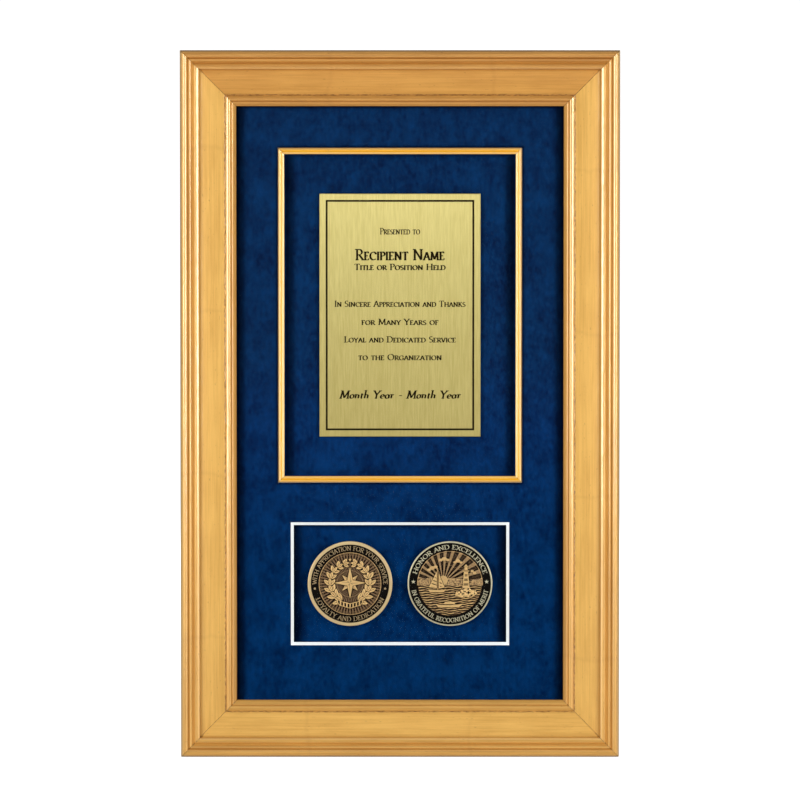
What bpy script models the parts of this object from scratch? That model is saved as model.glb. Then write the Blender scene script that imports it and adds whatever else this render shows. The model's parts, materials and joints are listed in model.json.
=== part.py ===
"""Coin display frame: a mitred gold moulding around a recessed suede mount that shows a plaque and two coins.

Metres, +Z up. The front faces -Y, and +X is to the viewer's right. The origin is the middle of the frame's
bottom edge, halfway through the depth of the moulding.
"""

from math import cos, pi, radians, sin

import bmesh
import bpy
from mathutils import Matrix, Vector

MM = 0.001
GAP = 0.3 * MM  # clearance between neighbouring pieces

# Frame and moulding
FRAME_WIDTH = 228.6 * MM
FRAME_HEIGHT = 368.3 * MM
MOULDING_WIDTH = 29.0 * MM
MOULDING_DEPTH = 32.0 * MM
RABBET_WIDTH = 6.0 * MM
RABBET_DEPTH = 20.0 * MM

# The moulding's face from the outer edge to the sight edge, as stretches in millimetres:
# start, end, height at the start, height at the end, rise of the curve between them, steps of that curve.
FACE_STRETCHES = (
    (0.0, 4.1, 29.8, 30.2, 2.0, 7),  # outer bead
    (4.1, 6.2, 30.2, 29.6, 1.0, 5),  # second bead
    (6.7, 9.7, 29.3, 29.1, 1.0, 5),  # ridge above the step
    (10.0, 22.9, 27.4, 25.0, -0.8, 6),  # scooped band
    (23.5, 26.4, 24.8, 24.6, 1.2, 6),  # inner bead
    (26.8, 29.0, 24.6, 22.9, 0.3, 3),  # lip
)

# Boards in the rabbet, from the back to the front
BOARD_CLEARANCE = 0.8 * MM  # between a board's edge and the wall of the rabbet
BACK_PANEL_THICKNESS = 3.0 * MM
FILLER_THICKNESS = 5.0 * MM
BACKING_THICKNESS = 1.5 * MM
SPACER_THICKNESS = 5.0 * MM
MAT_THICKNESS = 1.5 * MM
GLAZING_THICKNESS = 2.0 * MM
SPACER_WIDTH = 16.0 * MM
MIDDLE_SPACER_WIDTH = 8.0 * MM
MIDDLE_SPACER_Z = 132.15 * MM

# Windows of the top mat, as seen from the front
PLAQUE_WINDOW_WIDTH = 127.5 * MM
PLAQUE_WINDOW_HEIGHT = 175.0 * MM
PLAQUE_WINDOW_Z = 230.15 * MM
COIN_WINDOW_WIDTH = 114.3 * MM
COIN_WINDOW_HEIGHT = 64.5 * MM
COIN_WINDOW_Z = 89.55 * MM

# Gilt fillet around the plaque window
FILLET_FACE_WIDTH = 3.3 * MM
FILLET_FLANGE_WIDTH = 4.0 * MM
FILLET_FLANGE_THICKNESS = 1.5 * MM
FILLET_BEAD_RISE = 0.5 * MM
FILLET_BEAD_STEPS = 4

# Plaque and coins
PLAQUE_WIDTH = 84.3 * MM
PLAQUE_HEIGHT = 127.2 * MM
PLAQUE_THICKNESS = 0.8 * MM
PLAQUE_Z = 230.05 * MM
TAPE_WIDTH = 60.0 * MM
TAPE_HEIGHT = 12.0 * MM
TAPE_THICKNESS = 0.6 * MM
TAPE_OFFSET = 45.0 * MM
COIN_RADIUS = 22.225 * MM
COIN_THICKNESS = 3.0 * MM
COIN_RIM_WIDTH = 1.7 * MM
COIN_FIELD_DEPTH = 0.4 * MM
COIN_CHAMFER = 0.3 * MM
COIN_X = 26.2 * MM
COIN_Z = 89.35 * MM
PAD_RADIUS = 12.0 * MM
COIN_SEGMENTS = 48

# V-nails that hold the mitres together, driven in from the back
VNAIL_LEG = 6.0 * MM
VNAIL_THICKNESS = 0.8 * MM
VNAIL_HALF_ANGLE = radians(50)
VNAIL_HEIGHT = 10.0 * MM
VNAIL_SINK = 0.5 * MM
VNAIL_INSET = 11.5 * MM

# Turn buttons and their screws
BUTTON_PIVOT_INSET = 15.5 * MM  # from the frame's outer edge
BUTTON_REACH = 14.0 * MM
BUTTON_HEEL_RADIUS = 4.5 * MM
BUTTON_TIP_RADIUS = 3.5 * MM
BUTTON_THICKNESS = 1.2 * MM
BUTTON_HOLE_RADIUS = 1.8 * MM
BUTTON_ARC_STEPS = 9
SIDE_BUTTON_HEIGHTS = {"lower": 92.0 * MM, "upper": 304.0 * MM}
SCREW_SHANK_RADIUS = 1.4 * MM
SCREW_HEAD_RADIUS = 3.2 * MM
SCREW_HEAD_HEIGHT = 2.0 * MM
SCREW_LENGTH = 11.0 * MM
SCREW_POINT_LENGTH = 2.5 * MM
SCREW_SEGMENTS = 14

# Hanger straps, D-rings and the wire between them
HANGER_INSET = 11.5 * MM  # from the frame's outer edge
HANGER_Z = 245.0 * MM
STRAP_WIDTH = 9.0 * MM
STRAP_DROP = 22.0 * MM
STRAP_THICKNESS = 0.8 * MM
STRAP_LOOP_RADIUS = 2.3 * MM
STRAP_LOOP_TURN = radians(285)
STRAP_LOOP_STEPS = 14
STRAP_SCREW_DROP = 14.0 * MM
STRAP_HOLE_RADIUS = 1.8 * MM
RING_WIRE_RADIUS = 1.0 * MM
RING_HALF_WIDTH = 6.5 * MM
RING_STRAIGHT = 5.0 * MM
RING_CORNER_RADIUS = 1.5 * MM
RING_TILT = radians(8)  # the rings lean away from the back
WIRE_RADIUS = 0.6 * MM
WIRE_CURL_RADIUS = 2.0 * MM
WIRE_ATTACH_ANGLE = radians(50)
WIRE_PEAK = 28.0 * MM

# Wall bumpers
BUMPER_RADIUS = 5.0 * MM
BUMPER_THICKNESS = 3.0 * MM
BUMPER_INSET = 11.5 * MM
BUMPER_Z = 30.0 * MM

# Values that follow from the dimensions above
BACK_Y = MOULDING_DEPTH / 2
SIGHT_WIDTH = FRAME_WIDTH - 2 * MOULDING_WIDTH
SIGHT_HEIGHT = FRAME_HEIGHT - 2 * MOULDING_WIDTH
BOARD_WIDTH = SIGHT_WIDTH + 2 * (RABBET_WIDTH - BOARD_CLEARANCE)
BOARD_HEIGHT = SIGHT_HEIGHT + 2 * (RABBET_WIDTH - BOARD_CLEARANCE)
CENTRE_Z = FRAME_HEIGHT / 2
BACK_PANEL_FRONT = BACK_Y - BACK_PANEL_THICKNESS
FILLER_FRONT = BACK_PANEL_FRONT - GAP - FILLER_THICKNESS
BACKING_FRONT = FILLER_FRONT - GAP - BACKING_THICKNESS
SPACER_FRONT = BACKING_FRONT - GAP - SPACER_THICKNESS
MAT_BACK = SPACER_FRONT - GAP
MAT_FRONT = MAT_BACK - MAT_THICKNESS
GLAZING_FRONT = MAT_FRONT - GAP - GLAZING_THICKNESS
TAPE_FRONT = BACKING_FRONT - GAP - TAPE_THICKNESS
PLAQUE_FRONT = TAPE_FRONT - GAP - PLAQUE_THICKNESS
COIN_FRONT = TAPE_FRONT - GAP - COIN_THICKNESS
BUTTON_BACK = BACK_Y + GAP + BUTTON_THICKNESS
STRAP_BACK = BACK_Y + GAP + STRAP_THICKNESS
HANGER_X = FRAME_WIDTH / 2 - HANGER_INSET
HANGER_Y = BACK_Y + GAP + STRAP_LOOP_RADIUS

# Each side of the frame: turn about Y that carries the bottom side there
SIDE_TURNS = {"bottom": 0.0, "top": pi, "left": pi / 2, "right": -pi / 2}

# Colour, roughness and metallic value of each material
MATERIALS = {
    "gold_leaf": ((0.72, 0.45, 0.16), 0.42, 0.55),
    "gilt_fillet": ((0.80, 0.52, 0.17), 0.35, 0.6),
    "blue_suede": ((0.006, 0.03, 0.11), 0.95, 0.0),
    "clear_glazing": ((0.9, 0.95, 0.93), 0.05, 0.0),
    "foam_board": ((0.85, 0.85, 0.83), 0.8, 0.0),
    "hardboard": ((0.22, 0.12, 0.06), 0.75, 0.0),
    "satin_brass": ((0.68, 0.58, 0.27), 0.35, 0.9),
    "antique_bronze": ((0.35, 0.25, 0.13), 0.4, 0.9),
    "adhesive": ((0.8, 0.8, 0.78), 0.6, 0.0),
    "zinc_steel": ((0.6, 0.61, 0.62), 0.35, 1.0),
    "black_rubber": ((0.02, 0.02, 0.02), 0.8, 0.0),
}


def clear_scene():
    for existing in list(bpy.data.objects):
        bpy.data.objects.remove(existing, do_unlink=True)


def make_materials():
    made = {}
    for name, (colour, roughness, metallic) in MATERIALS.items():
        made[name] = bpy.data.materials.new(name)
        made[name].use_nodes = True
        surface = made[name].node_tree.nodes["Principled BSDF"]
        surface.inputs["Base Color"].default_value = (*colour, 1.0)
        surface.inputs["Roughness"].default_value = roughness
        surface.inputs["Metallic"].default_value = metallic
    return made


def add_object(name, bm, material=None, location=(0, 0, 0), turn=0.0, smooth=False):
    """Turn a bmesh into an object placed at location and turned about Y. With no material, it is a cutter."""
    bmesh.ops.recalc_face_normals(bm, faces=bm.faces)
    mesh = bpy.data.meshes.new(name)
    bm.to_mesh(mesh)
    bm.free()
    if smooth:
        mesh.shade_smooth()
        mesh.set_sharp_from_angle(angle=radians(35))
    made = bpy.data.objects.new(name, mesh)
    made.location = location
    made.rotation_euler = (0, turn, 0)
    bpy.context.scene.collection.objects.link(made)
    if material:
        mesh.materials.append(material)
    else:
        made.hide_render = True
        made.display_type = "WIRE"
    return made


def cut(target, cutter):
    modifier = target.modifiers.new(cutter.name, "BOOLEAN")
    modifier.operation = "DIFFERENCE"
    modifier.solver = "EXACT"
    modifier.object = cutter


def skin_rings(bm, rings, cap=True, close=False):
    """Join rings of points with quads; cap closes the ends, and close joins the last ring to the first."""
    loops = [[bm.verts.new(point) for point in ring] for ring in rings]
    count = len(loops[0])
    following = loops[1:] + ([loops[0]] if close else [])
    for near, far in zip(loops, following):
        for i in range(count):
            j = (i + 1) % count
            bm.faces.new((near[i], near[j], far[j], far[i]))
    if cap and not close:
        bm.faces.new(loops[0])
        bm.faces.new(loops[-1])


def add_box(bm, width, height, front, back, centre_x=0.0, centre_z=0.0):
    half_w = width / 2
    half_h = height / 2
    corners = ((-half_w, -half_h), (half_w, -half_h), (half_w, half_h), (-half_w, half_h))
    rings = [[(centre_x + x, y, centre_z + z) for x, z in corners] for y in (front, back)]
    skin_rings(bm, rings)


def add_sheet(name, width, height, front, thickness, material, centre_x=0.0, centre_z=CENTRE_Z):
    bm = bmesh.new()
    add_box(bm, width, height, 0.0, thickness)
    return add_object(name, bm, material, location=(centre_x, front, centre_z))


def add_turned(bm, profile, segments, centre=(0.0, 0.0, 0.0)):
    """Revolve (radius, y) points about the Y axis; the first and last points lie on the axis."""
    middle = Vector(centre)
    angles = [2 * pi * i / segments for i in range(segments)]
    rings = [[middle + Vector((r * cos(a), y, r * sin(a))) for a in angles] for r, y in profile[1:-1]]
    skin_rings(bm, rings, cap=False)
    bm.verts.ensure_lookup_table()
    first_ring = bm.verts[-segments * len(rings) : len(bm.verts) - segments * (len(rings) - 1)]
    last_ring = bm.verts[-segments:]
    for ring, (_, y) in ((first_ring, profile[0]), (last_ring, profile[-1])):
        tip = bm.verts.new(middle + Vector((0, y, 0)))
        for i in range(segments):
            bm.faces.new((ring[i], ring[(i + 1) % segments], tip))


def curved_stretch(start, end, start_height, end_height, rise, steps):
    """Points of a half-ellipse bulge, or hollow, between two heights."""
    points = []
    for i in range(steps + 1):
        t = pi * i / steps
        along = (1 - cos(t)) / 2
        height = start_height + (end_height - start_height) * along + rise * sin(t)
        points.append((start + (end - start) * along, height))
    return points


def moulding_outline():
    """The moulding's cross-section as (distance in from the outer edge, y)."""
    face = [(0.0, 0.0)]
    for stretch in FACE_STRETCHES:
        for inward, height in curved_stretch(*stretch):
            point = (inward * MM, height * MM)
            if point != face[-1]:
                face.append(point)
    rabbet_wall = MOULDING_WIDTH - RABBET_WIDTH
    face += [(MOULDING_WIDTH, RABBET_DEPTH), (rabbet_wall, RABBET_DEPTH), (rabbet_wall, 0.0)]
    return [(inward, BACK_Y - height) for inward, height in face]


def fillet_outline():
    """The fillet's cross-section as (distance in from the window's edge, y): two beads and a flange."""
    flange_front = MAT_BACK + GAP
    back = flange_front + FILLET_FLANGE_THICKNESS
    crest = MAT_FRONT + FILLET_BEAD_RISE
    middle = (GAP + FILLET_FACE_WIDTH) / 2
    outline = [(-FILLET_FLANGE_WIDTH, back), (-FILLET_FLANGE_WIDTH, flange_front), (GAP, flange_front)]
    outline += curved_stretch(GAP, middle, crest, crest, -FILLET_BEAD_RISE, FILLET_BEAD_STEPS)
    outline += curved_stretch(middle, FILLET_FACE_WIDTH, crest, crest, -FILLET_BEAD_RISE, FILLET_BEAD_STEPS)[1:]
    outline.append((FILLET_FACE_WIDTH, back))
    return outline


def add_mitred_sides(prefix, outline, width, height, centre_z, material):
    """Four mitred sticks around a rectangle, each with its origin in the middle of its outer edge."""
    sides = {}
    end_gap = GAP / 2 * 2**0.5
    for side, turn in SIDE_TURNS.items():
        upright = side in ("left", "right")
        half_length = (height if upright else width) / 2 - end_gap
        reach = (width if upright else height) / 2
        bm = bmesh.new()
        ends = [[(sign * (half_length - inward), y, inward) for inward, y in outline] for sign in (-1, 1)]
        skin_rings(bm, ends)
        inward_axis = Matrix.Rotation(turn, 3, "Y") @ Vector((0, 0, 1))
        location = Vector((0, 0, centre_z)) - reach * inward_axis
        sides[side] = add_object(f"{prefix}_{side}", bm, material, location, turn)
    return sides


def chevron(leg, thickness):
    """A V with its point on +X, as (x, z) points."""
    half = thickness / 2
    along = Vector((-cos(VNAIL_HALF_ANGLE), sin(VNAIL_HALF_ANGLE))) * leg
    across = Vector((sin(VNAIL_HALF_ANGLE), cos(VNAIL_HALF_ANGLE))) * half
    nose = half / sin(VNAIL_HALF_ANGLE)
    outer_end = along + across
    inner_end = along - across
    upper = [(nose, 0.0), tuple(outer_end), tuple(inner_end), (-nose, 0.0)]
    return upper + [(inner_end.x, -inner_end.y), (outer_end.x, -outer_end.y)]


def add_vnails(material):
    """A V-nail across each mitre, and one cutter for their slots in the rails."""
    front = BACK_Y - VNAIL_SINK - VNAIL_HEIGHT
    back = BACK_Y - VNAIL_SINK
    slots = bmesh.new()
    for vertical, sign_z in (("bottom", -1), ("top", 1)):
        for horizontal, sign_x in (("left", -1), ("right", 1)):
            x = sign_x * (FRAME_WIDTH / 2 - VNAIL_INSET)
            z = CENTRE_Z + sign_z * (FRAME_HEIGHT / 2 - VNAIL_INSET)
            outward = Vector((sign_x, sign_z)).normalized()
            sideways = Vector((-outward.y, outward.x))
            rings = []
            slot_rings = []
            for y in (front, back):
                points = [outward * u + sideways * v for u, v in chevron(VNAIL_LEG, VNAIL_THICKNESS)]
                rings.append([(p.x, y, p.y) for p in points])
            for y in (front - GAP, BACK_Y + VNAIL_SINK):
                wider = chevron(VNAIL_LEG + GAP, VNAIL_THICKNESS + 2 * GAP)
                points = [outward * u + sideways * v for u, v in wider]
                slot_rings.append([(x + p.x, y, z + p.y) for p in points])
            bm = bmesh.new()
            skin_rings(bm, rings)
            add_object(f"vnail_{vertical}_{horizontal}", bm, material, location=(x, 0, z))
            skin_rings(slots, slot_rings)
    return add_object("vnail_slots_cutter", slots)


def add_top_mat(material):
    """The front mat, with a straight window for the fillet and a 45-degree bevelled window for the coins."""
    mat = add_sheet("top_mat", BOARD_WIDTH, BOARD_HEIGHT, MAT_FRONT, MAT_THICKNESS, material)
    windows = bmesh.new()
    past = MAT_THICKNESS
    add_box(
        windows,
        PLAQUE_WINDOW_WIDTH,
        PLAQUE_WINDOW_HEIGHT,
        MAT_FRONT - past,
        MAT_BACK + past,
        centre_z=PLAQUE_WINDOW_Z,
    )
    rings = []
    for y in (MAT_FRONT - past, MAT_BACK + past):
        inset = y - MAT_FRONT
        half_w = COIN_WINDOW_WIDTH / 2 - inset
        half_h = COIN_WINDOW_HEIGHT / 2 - inset
        corners = ((-half_w, -half_h), (half_w, -half_h), (half_w, half_h), (-half_w, half_h))
        rings.append([(x, y, COIN_WINDOW_Z + z) for x, z in corners])
    skin_rings(windows, rings)
    cut(mat, add_object("mat_windows_cutter", windows))


def add_spacers(material):
    """Foam strips that hold the top mat off the backing mat, set back out of sight of the windows."""
    side_x = (BOARD_WIDTH - SPACER_WIDTH) / 2
    end_z = (BOARD_HEIGHT - SPACER_WIDTH) / 2
    between = BOARD_WIDTH - 2 * (SPACER_WIDTH + GAP)
    strips = {
        "left": (SPACER_WIDTH, BOARD_HEIGHT, -side_x, CENTRE_Z),
        "right": (SPACER_WIDTH, BOARD_HEIGHT, side_x, CENTRE_Z),
        "bottom": (between, SPACER_WIDTH, 0.0, CENTRE_Z - end_z),
        "top": (between, SPACER_WIDTH, 0.0, CENTRE_Z + end_z),
        "middle": (between, MIDDLE_SPACER_WIDTH, 0.0, MIDDLE_SPACER_Z),
    }
    for name, (width, height, x, z) in strips.items():
        add_sheet(f"spacer_{name}", width, height, SPACER_FRONT, SPACER_THICKNESS, material, x, z)


def add_plaque(materials):
    plaque_z = PLAQUE_Z
    brass = materials["satin_brass"]
    add_sheet("plaque", PLAQUE_WIDTH, PLAQUE_HEIGHT, PLAQUE_FRONT, PLAQUE_THICKNESS, brass, centre_z=plaque_z)
    for name, offset in (("lower", -TAPE_OFFSET), ("upper", TAPE_OFFSET)):
        tape_z = plaque_z + offset
        tape = materials["adhesive"]
        add_sheet(f"plaque_tape_{name}", TAPE_WIDTH, TAPE_HEIGHT, TAPE_FRONT, TAPE_THICKNESS, tape, 0.0, tape_z)


def add_coins(materials):
    field_radius = COIN_RADIUS - COIN_RIM_WIDTH
    profile = (
        (0.0, COIN_FIELD_DEPTH),
        (field_radius, COIN_FIELD_DEPTH),
        (field_radius, 0.0),
        (COIN_RADIUS - COIN_CHAMFER, 0.0),
        (COIN_RADIUS, COIN_CHAMFER),
        (COIN_RADIUS, COIN_THICKNESS - COIN_CHAMFER),
        (COIN_RADIUS - COIN_CHAMFER, COIN_THICKNESS),
        (0.0, COIN_THICKNESS),
    )
    pad_profile = ((0.0, 0.0), (PAD_RADIUS, 0.0), (PAD_RADIUS, TAPE_THICKNESS), (0.0, TAPE_THICKNESS))
    for side, x in (("left", -COIN_X), ("right", COIN_X)):
        coin = bmesh.new()
        add_turned(coin, profile, COIN_SEGMENTS)
        place = (x, COIN_FRONT, COIN_Z)
        add_object(f"coin_{side}", coin, materials["antique_bronze"], place, smooth=True)
        pad = bmesh.new()
        add_turned(pad, pad_profile, COIN_SEGMENTS // 2)
        add_object(f"coin_pad_{side}", pad, materials["adhesive"], (x, TAPE_FRONT, COIN_Z), smooth=True)


def screw_profile():
    """A pan-head wood screw with its head's underside at y = 0 and its point towards -Y."""
    dome = [
        (SCREW_HEAD_RADIUS * cos(t), SCREW_HEAD_HEIGHT * (0.35 + 0.65 * sin(t)))
        for t in (0.0, pi / 6, pi / 3)
    ]
    shank_end = SCREW_POINT_LENGTH - SCREW_LENGTH
    body = [(0.0, -SCREW_LENGTH), (SCREW_SHANK_RADIUS, shank_end), (SCREW_SHANK_RADIUS, 0.0), (SCREW_HEAD_RADIUS, 0.0)]
    return body + dome + [(0.0, SCREW_HEAD_HEIGHT)]


def add_screw(name, x, z, seat_y, material):
    bm = bmesh.new()
    add_turned(bm, screw_profile(), SCREW_SEGMENTS)
    add_object(name, bm, material, location=(x, seat_y + GAP, z), smooth=True)


def add_screw_hole(bm, x, z, seat_y):
    """A cutter for the pilot hole of the screw that is seated on seat_y."""
    radius = SCREW_SHANK_RADIUS + GAP
    bottom = seat_y - SCREW_LENGTH
    profile = ((0.0, bottom), (radius, bottom), (radius, BACK_Y + MM), (0.0, BACK_Y + MM))
    add_turned(bm, profile, SCREW_SEGMENTS, centre=(x, 0.0, z))


def button_outline():
    """Heel arc about the pivot and tip arc, as (x, z) points with the tip on +Z, and the hole's matching points."""
    outer = []
    hole = []
    tip_centre = BUTTON_REACH - BUTTON_TIP_RADIUS
    for start, radius, centre in ((0.0, BUTTON_TIP_RADIUS, tip_centre), (pi, BUTTON_HEEL_RADIUS, 0.0)):
        for i in range(BUTTON_ARC_STEPS):
            t = start + pi * i / (BUTTON_ARC_STEPS - 1)
            outer.append((radius * cos(t), centre + radius * sin(t)))
            hole_t = start + pi * (i + 0.5) / BUTTON_ARC_STEPS
            hole.append((BUTTON_HOLE_RADIUS * cos(hole_t), BUTTON_HOLE_RADIUS * sin(hole_t)))
    return outer, hole


def button_places():
    """Name, x, z and turn of each turn button; its tip points inwards over the back panel."""
    side_x = FRAME_WIDTH / 2 - BUTTON_PIVOT_INSET
    places = [
        ("bottom", 0.0, BUTTON_PIVOT_INSET, SIDE_TURNS["bottom"]),
        ("top", 0.0, FRAME_HEIGHT - BUTTON_PIVOT_INSET, SIDE_TURNS["top"]),
    ]
    for level, z in SIDE_BUTTON_HEIGHTS.items():
        places.append((f"left_{level}", -side_x, z, SIDE_TURNS["left"]))
        places.append((f"right_{level}", side_x, z, SIDE_TURNS["right"]))
    return places


def add_turn_buttons(material, holes):
    """Plates that swing about their screws to hold or free the back panel."""
    outer, hole = button_outline()
    front = BACK_Y + GAP
    for name, x, z, turn in button_places():
        bm = bmesh.new()
        rings = []
        for outline, y in ((hole, 0.0), (outer, 0.0), (outer, BUTTON_THICKNESS), (hole, BUTTON_THICKNESS)):
            rings.append([(u, y, v) for u, v in outline])
        skin_rings(bm, rings, close=True)
        add_object(f"turn_button_{name}", bm, material, (x, front, z), turn)
        add_screw(f"button_screw_{name}", x, z, BUTTON_BACK, material)
        add_screw_hole(holes, x, z, BUTTON_BACK)


def strap_outline():
    """The hanger strap seen from its end, as (y, z) from the ring's axis: a flat plate and an open loop."""
    inner = STRAP_LOOP_RADIUS - STRAP_THICKNESS
    turns = [STRAP_LOOP_TURN * i / STRAP_LOOP_STEPS for i in range(STRAP_LOOP_STEPS + 1)]
    outline = [(-STRAP_LOOP_RADIUS, -STRAP_DROP)]
    outline += [(-STRAP_LOOP_RADIUS * cos(t), STRAP_LOOP_RADIUS * sin(t)) for t in turns]
    outline += [(-inner * cos(t), inner * sin(t)) for t in reversed(turns)]
    outline.append((-inner, -STRAP_DROP))
    return outline


def ring_path():
    """The D-ring's centreline as (x, u) points: its straight bar lies on the hinge axis and u points away."""
    corner_x = RING_HALF_WIDTH - RING_CORNER_RADIUS
    steps = 4
    path = []
    for i in range(steps + 1):
        t = -pi / 2 + pi / 2 * i / steps
        path.append((corner_x + RING_CORNER_RADIUS * cos(t), RING_CORNER_RADIUS * (1 + sin(t))))
    for i in range(4 * steps + 1):
        t = pi * i / (4 * steps)
        path.append((RING_HALF_WIDTH * cos(t), RING_STRAIGHT + RING_HALF_WIDTH * sin(t)))
    for i in range(steps + 1):
        t = pi + pi / 2 * i / steps
        path.append((-corner_x + RING_CORNER_RADIUS * cos(t), RING_CORNER_RADIUS * (1 + sin(t))))
    return path


def leaning(x, u, w=0.0):
    """A point in the plane of the leaning D-rings: u away from the hinge axis, w out of the plane, backwards."""
    return Vector((x, u * sin(RING_TILT) + w * cos(RING_TILT), u * cos(RING_TILT) - w * sin(RING_TILT)))


def sweep_tube(bm, path, radius, segments, close=False):
    """A round tube along a path of vectors, with flat ends unless it is closed."""
    rings = []
    count = len(path)
    side = None
    for i, point in enumerate(path):
        before = path[i - 1] if close or i > 0 else point
        after = path[(i + 1) % count] if close or i < count - 1 else point
        tangent = (after - before).normalized()
        if side is None:
            side = tangent.orthogonal().normalized()
        side = (side - tangent * side.dot(tangent)).normalized()
        up = tangent.cross(side)
        angles = [2 * pi * k / segments for k in range(segments)]
        rings.append([point + radius * (side * cos(a) + up * sin(a)) for a in angles])
    skin_rings(bm, rings, close=close)


def wire_half_path():
    """The left half of the hanging wire, from its curl around the D-ring to the middle of the frame."""
    sine = sin(WIRE_ATTACH_ANGLE)
    cosine = cos(WIRE_ATTACH_ANGLE)
    hook_x = -HANGER_X + RING_HALF_WIDTH * sine
    hook_u = RING_STRAIGHT + RING_HALF_WIDTH * cosine
    path = []
    curl_steps = 9
    for i in range(curl_steps + 1):
        t = radians(330 - 240 * i / curl_steps)
        out = WIRE_CURL_RADIUS * cos(t)
        path.append(leaning(hook_x + out * sine, hook_u + out * cosine, WIRE_CURL_RADIUS * sin(t)))
    start = leaning(hook_x + 2.5 * MM * sine, hook_u + 2.5 * MM * cosine, WIRE_CURL_RADIUS)
    start_pull = leaning(hook_x + 14 * MM * sine, hook_u + 14 * MM * cosine, WIRE_CURL_RADIUS)
    middle_pull = leaning(-HANGER_X * 0.4, WIRE_PEAK)
    middle = leaning(0.0, WIRE_PEAK)
    span_steps = 14
    for i in range(span_steps + 1):
        t = i / span_steps
        s = 1 - t
        path.append(s**3 * start + 3 * s * s * t * start_pull + 3 * s * t * t * middle_pull + t**3 * middle)
    return path


def add_hangers(material, holes):
    """Straps screwed to the side rails, with D-rings and a wire that swing together about one axis."""
    axis = bpy.data.objects.new("hanger_axis", None)
    axis.location = (0, HANGER_Y, HANGER_Z)
    bpy.context.scene.collection.objects.link(axis)

    strap_holes = bmesh.new()
    straps = []
    screw_z = HANGER_Z - STRAP_SCREW_DROP
    for side, x in (("left", -HANGER_X), ("right", HANGER_X)):
        strap = bmesh.new()
        ends = [[(end, y, z) for y, z in strap_outline()] for end in (-STRAP_WIDTH / 2, STRAP_WIDTH / 2)]
        skin_rings(strap, ends)
        straps.append(add_object(f"hanger_strap_{side}", strap, material, (x, HANGER_Y, HANGER_Z)))
        hole = ((0.0, BACK_Y), (STRAP_HOLE_RADIUS, BACK_Y), (STRAP_HOLE_RADIUS, STRAP_BACK + MM), (0.0, STRAP_BACK + MM))
        add_turned(strap_holes, hole, SCREW_SEGMENTS, centre=(x, 0.0, screw_z))
        add_screw(f"strap_screw_{side}", x, screw_z, STRAP_BACK, material)
        add_screw_hole(holes, x, screw_z, STRAP_BACK)

        ring = bmesh.new()
        sweep_tube(ring, [leaning(px, pu) for px, pu in ring_path()], RING_WIRE_RADIUS, 10, close=True)
        add_object(f"dring_{side}", ring, material, (x, 0, 0), smooth=True).parent = axis
    cutter = add_object("strap_holes_cutter", strap_holes)
    for strap in straps:
        cut(strap, cutter)

    half = wire_half_path()
    mirrored = [Vector((-p.x, p.y, p.z)) for p in reversed(half[:-1])]
    wire = bmesh.new()
    sweep_tube(wire, half + mirrored, WIRE_RADIUS, 8)
    add_object("hanging_wire", wire, material, smooth=True).parent = axis


def add_bumpers(material):
    edge = BUMPER_THICKNESS * 0.7
    shoulder = BUMPER_RADIUS * 0.8
    profile = (
        (0.0, 0.0),
        (BUMPER_RADIUS, 0.0),
        (BUMPER_RADIUS, edge),
        (shoulder, BUMPER_THICKNESS),
        (0.0, BUMPER_THICKNESS),
    )
    for side, sign in (("left", -1), ("right", 1)):
        bm = bmesh.new()
        add_turned(bm, profile, 2 * SCREW_SEGMENTS)
        x = sign * (FRAME_WIDTH / 2 - BUMPER_INSET)
        add_object(f"bumper_{side}", bm, material, (x, BACK_Y + GAP, BUMPER_Z), smooth=True)


def build():
    clear_scene()
    materials = make_materials()

    rails = add_mitred_sides(
        "rail", moulding_outline(), FRAME_WIDTH, FRAME_HEIGHT, CENTRE_Z, materials["gold_leaf"]
    )
    vnail_slots = add_vnails(materials["zinc_steel"])

    board = (BOARD_WIDTH, BOARD_HEIGHT)
    add_sheet("glazing_pane", *board, GLAZING_FRONT, GLAZING_THICKNESS, materials["clear_glazing"])
    add_top_mat(materials["blue_suede"])
    add_mitred_sides(
        "fillet",
        fillet_outline(),
        PLAQUE_WINDOW_WIDTH,
        PLAQUE_WINDOW_HEIGHT,
        PLAQUE_WINDOW_Z,
        materials["gilt_fillet"],
    )
    add_spacers(materials["foam_board"])
    add_sheet("backing_mat", *board, BACKING_FRONT, BACKING_THICKNESS, materials["blue_suede"])
    add_plaque(materials)
    add_coins(materials)
    add_sheet("filler_board", *board, FILLER_FRONT, FILLER_THICKNESS, materials["foam_board"])
    add_sheet("back_panel", *board, BACK_PANEL_FRONT, BACK_PANEL_THICKNESS, materials["hardboard"])

    screw_holes = bmesh.new()
    add_turn_buttons(materials["zinc_steel"], screw_holes)
    add_hangers(materials["zinc_steel"], screw_holes)
    add_bumpers(materials["black_rubber"])
    hole_cutter = add_object("screw_holes_cutter", screw_holes)
    for rail in rails.values():
        cut(rail, vnail_slots)
        cut(rail, hole_cutter)


build()
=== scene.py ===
"""Looks of the coin display frame: gilded moulding, suede mats, brass plaque, struck medallions and back hardware."""

import json
from math import atan2, cos, hypot, pi, radians, sin

import bmesh
import bpy
import numpy as np
from mathutils import Matrix, Vector


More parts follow.
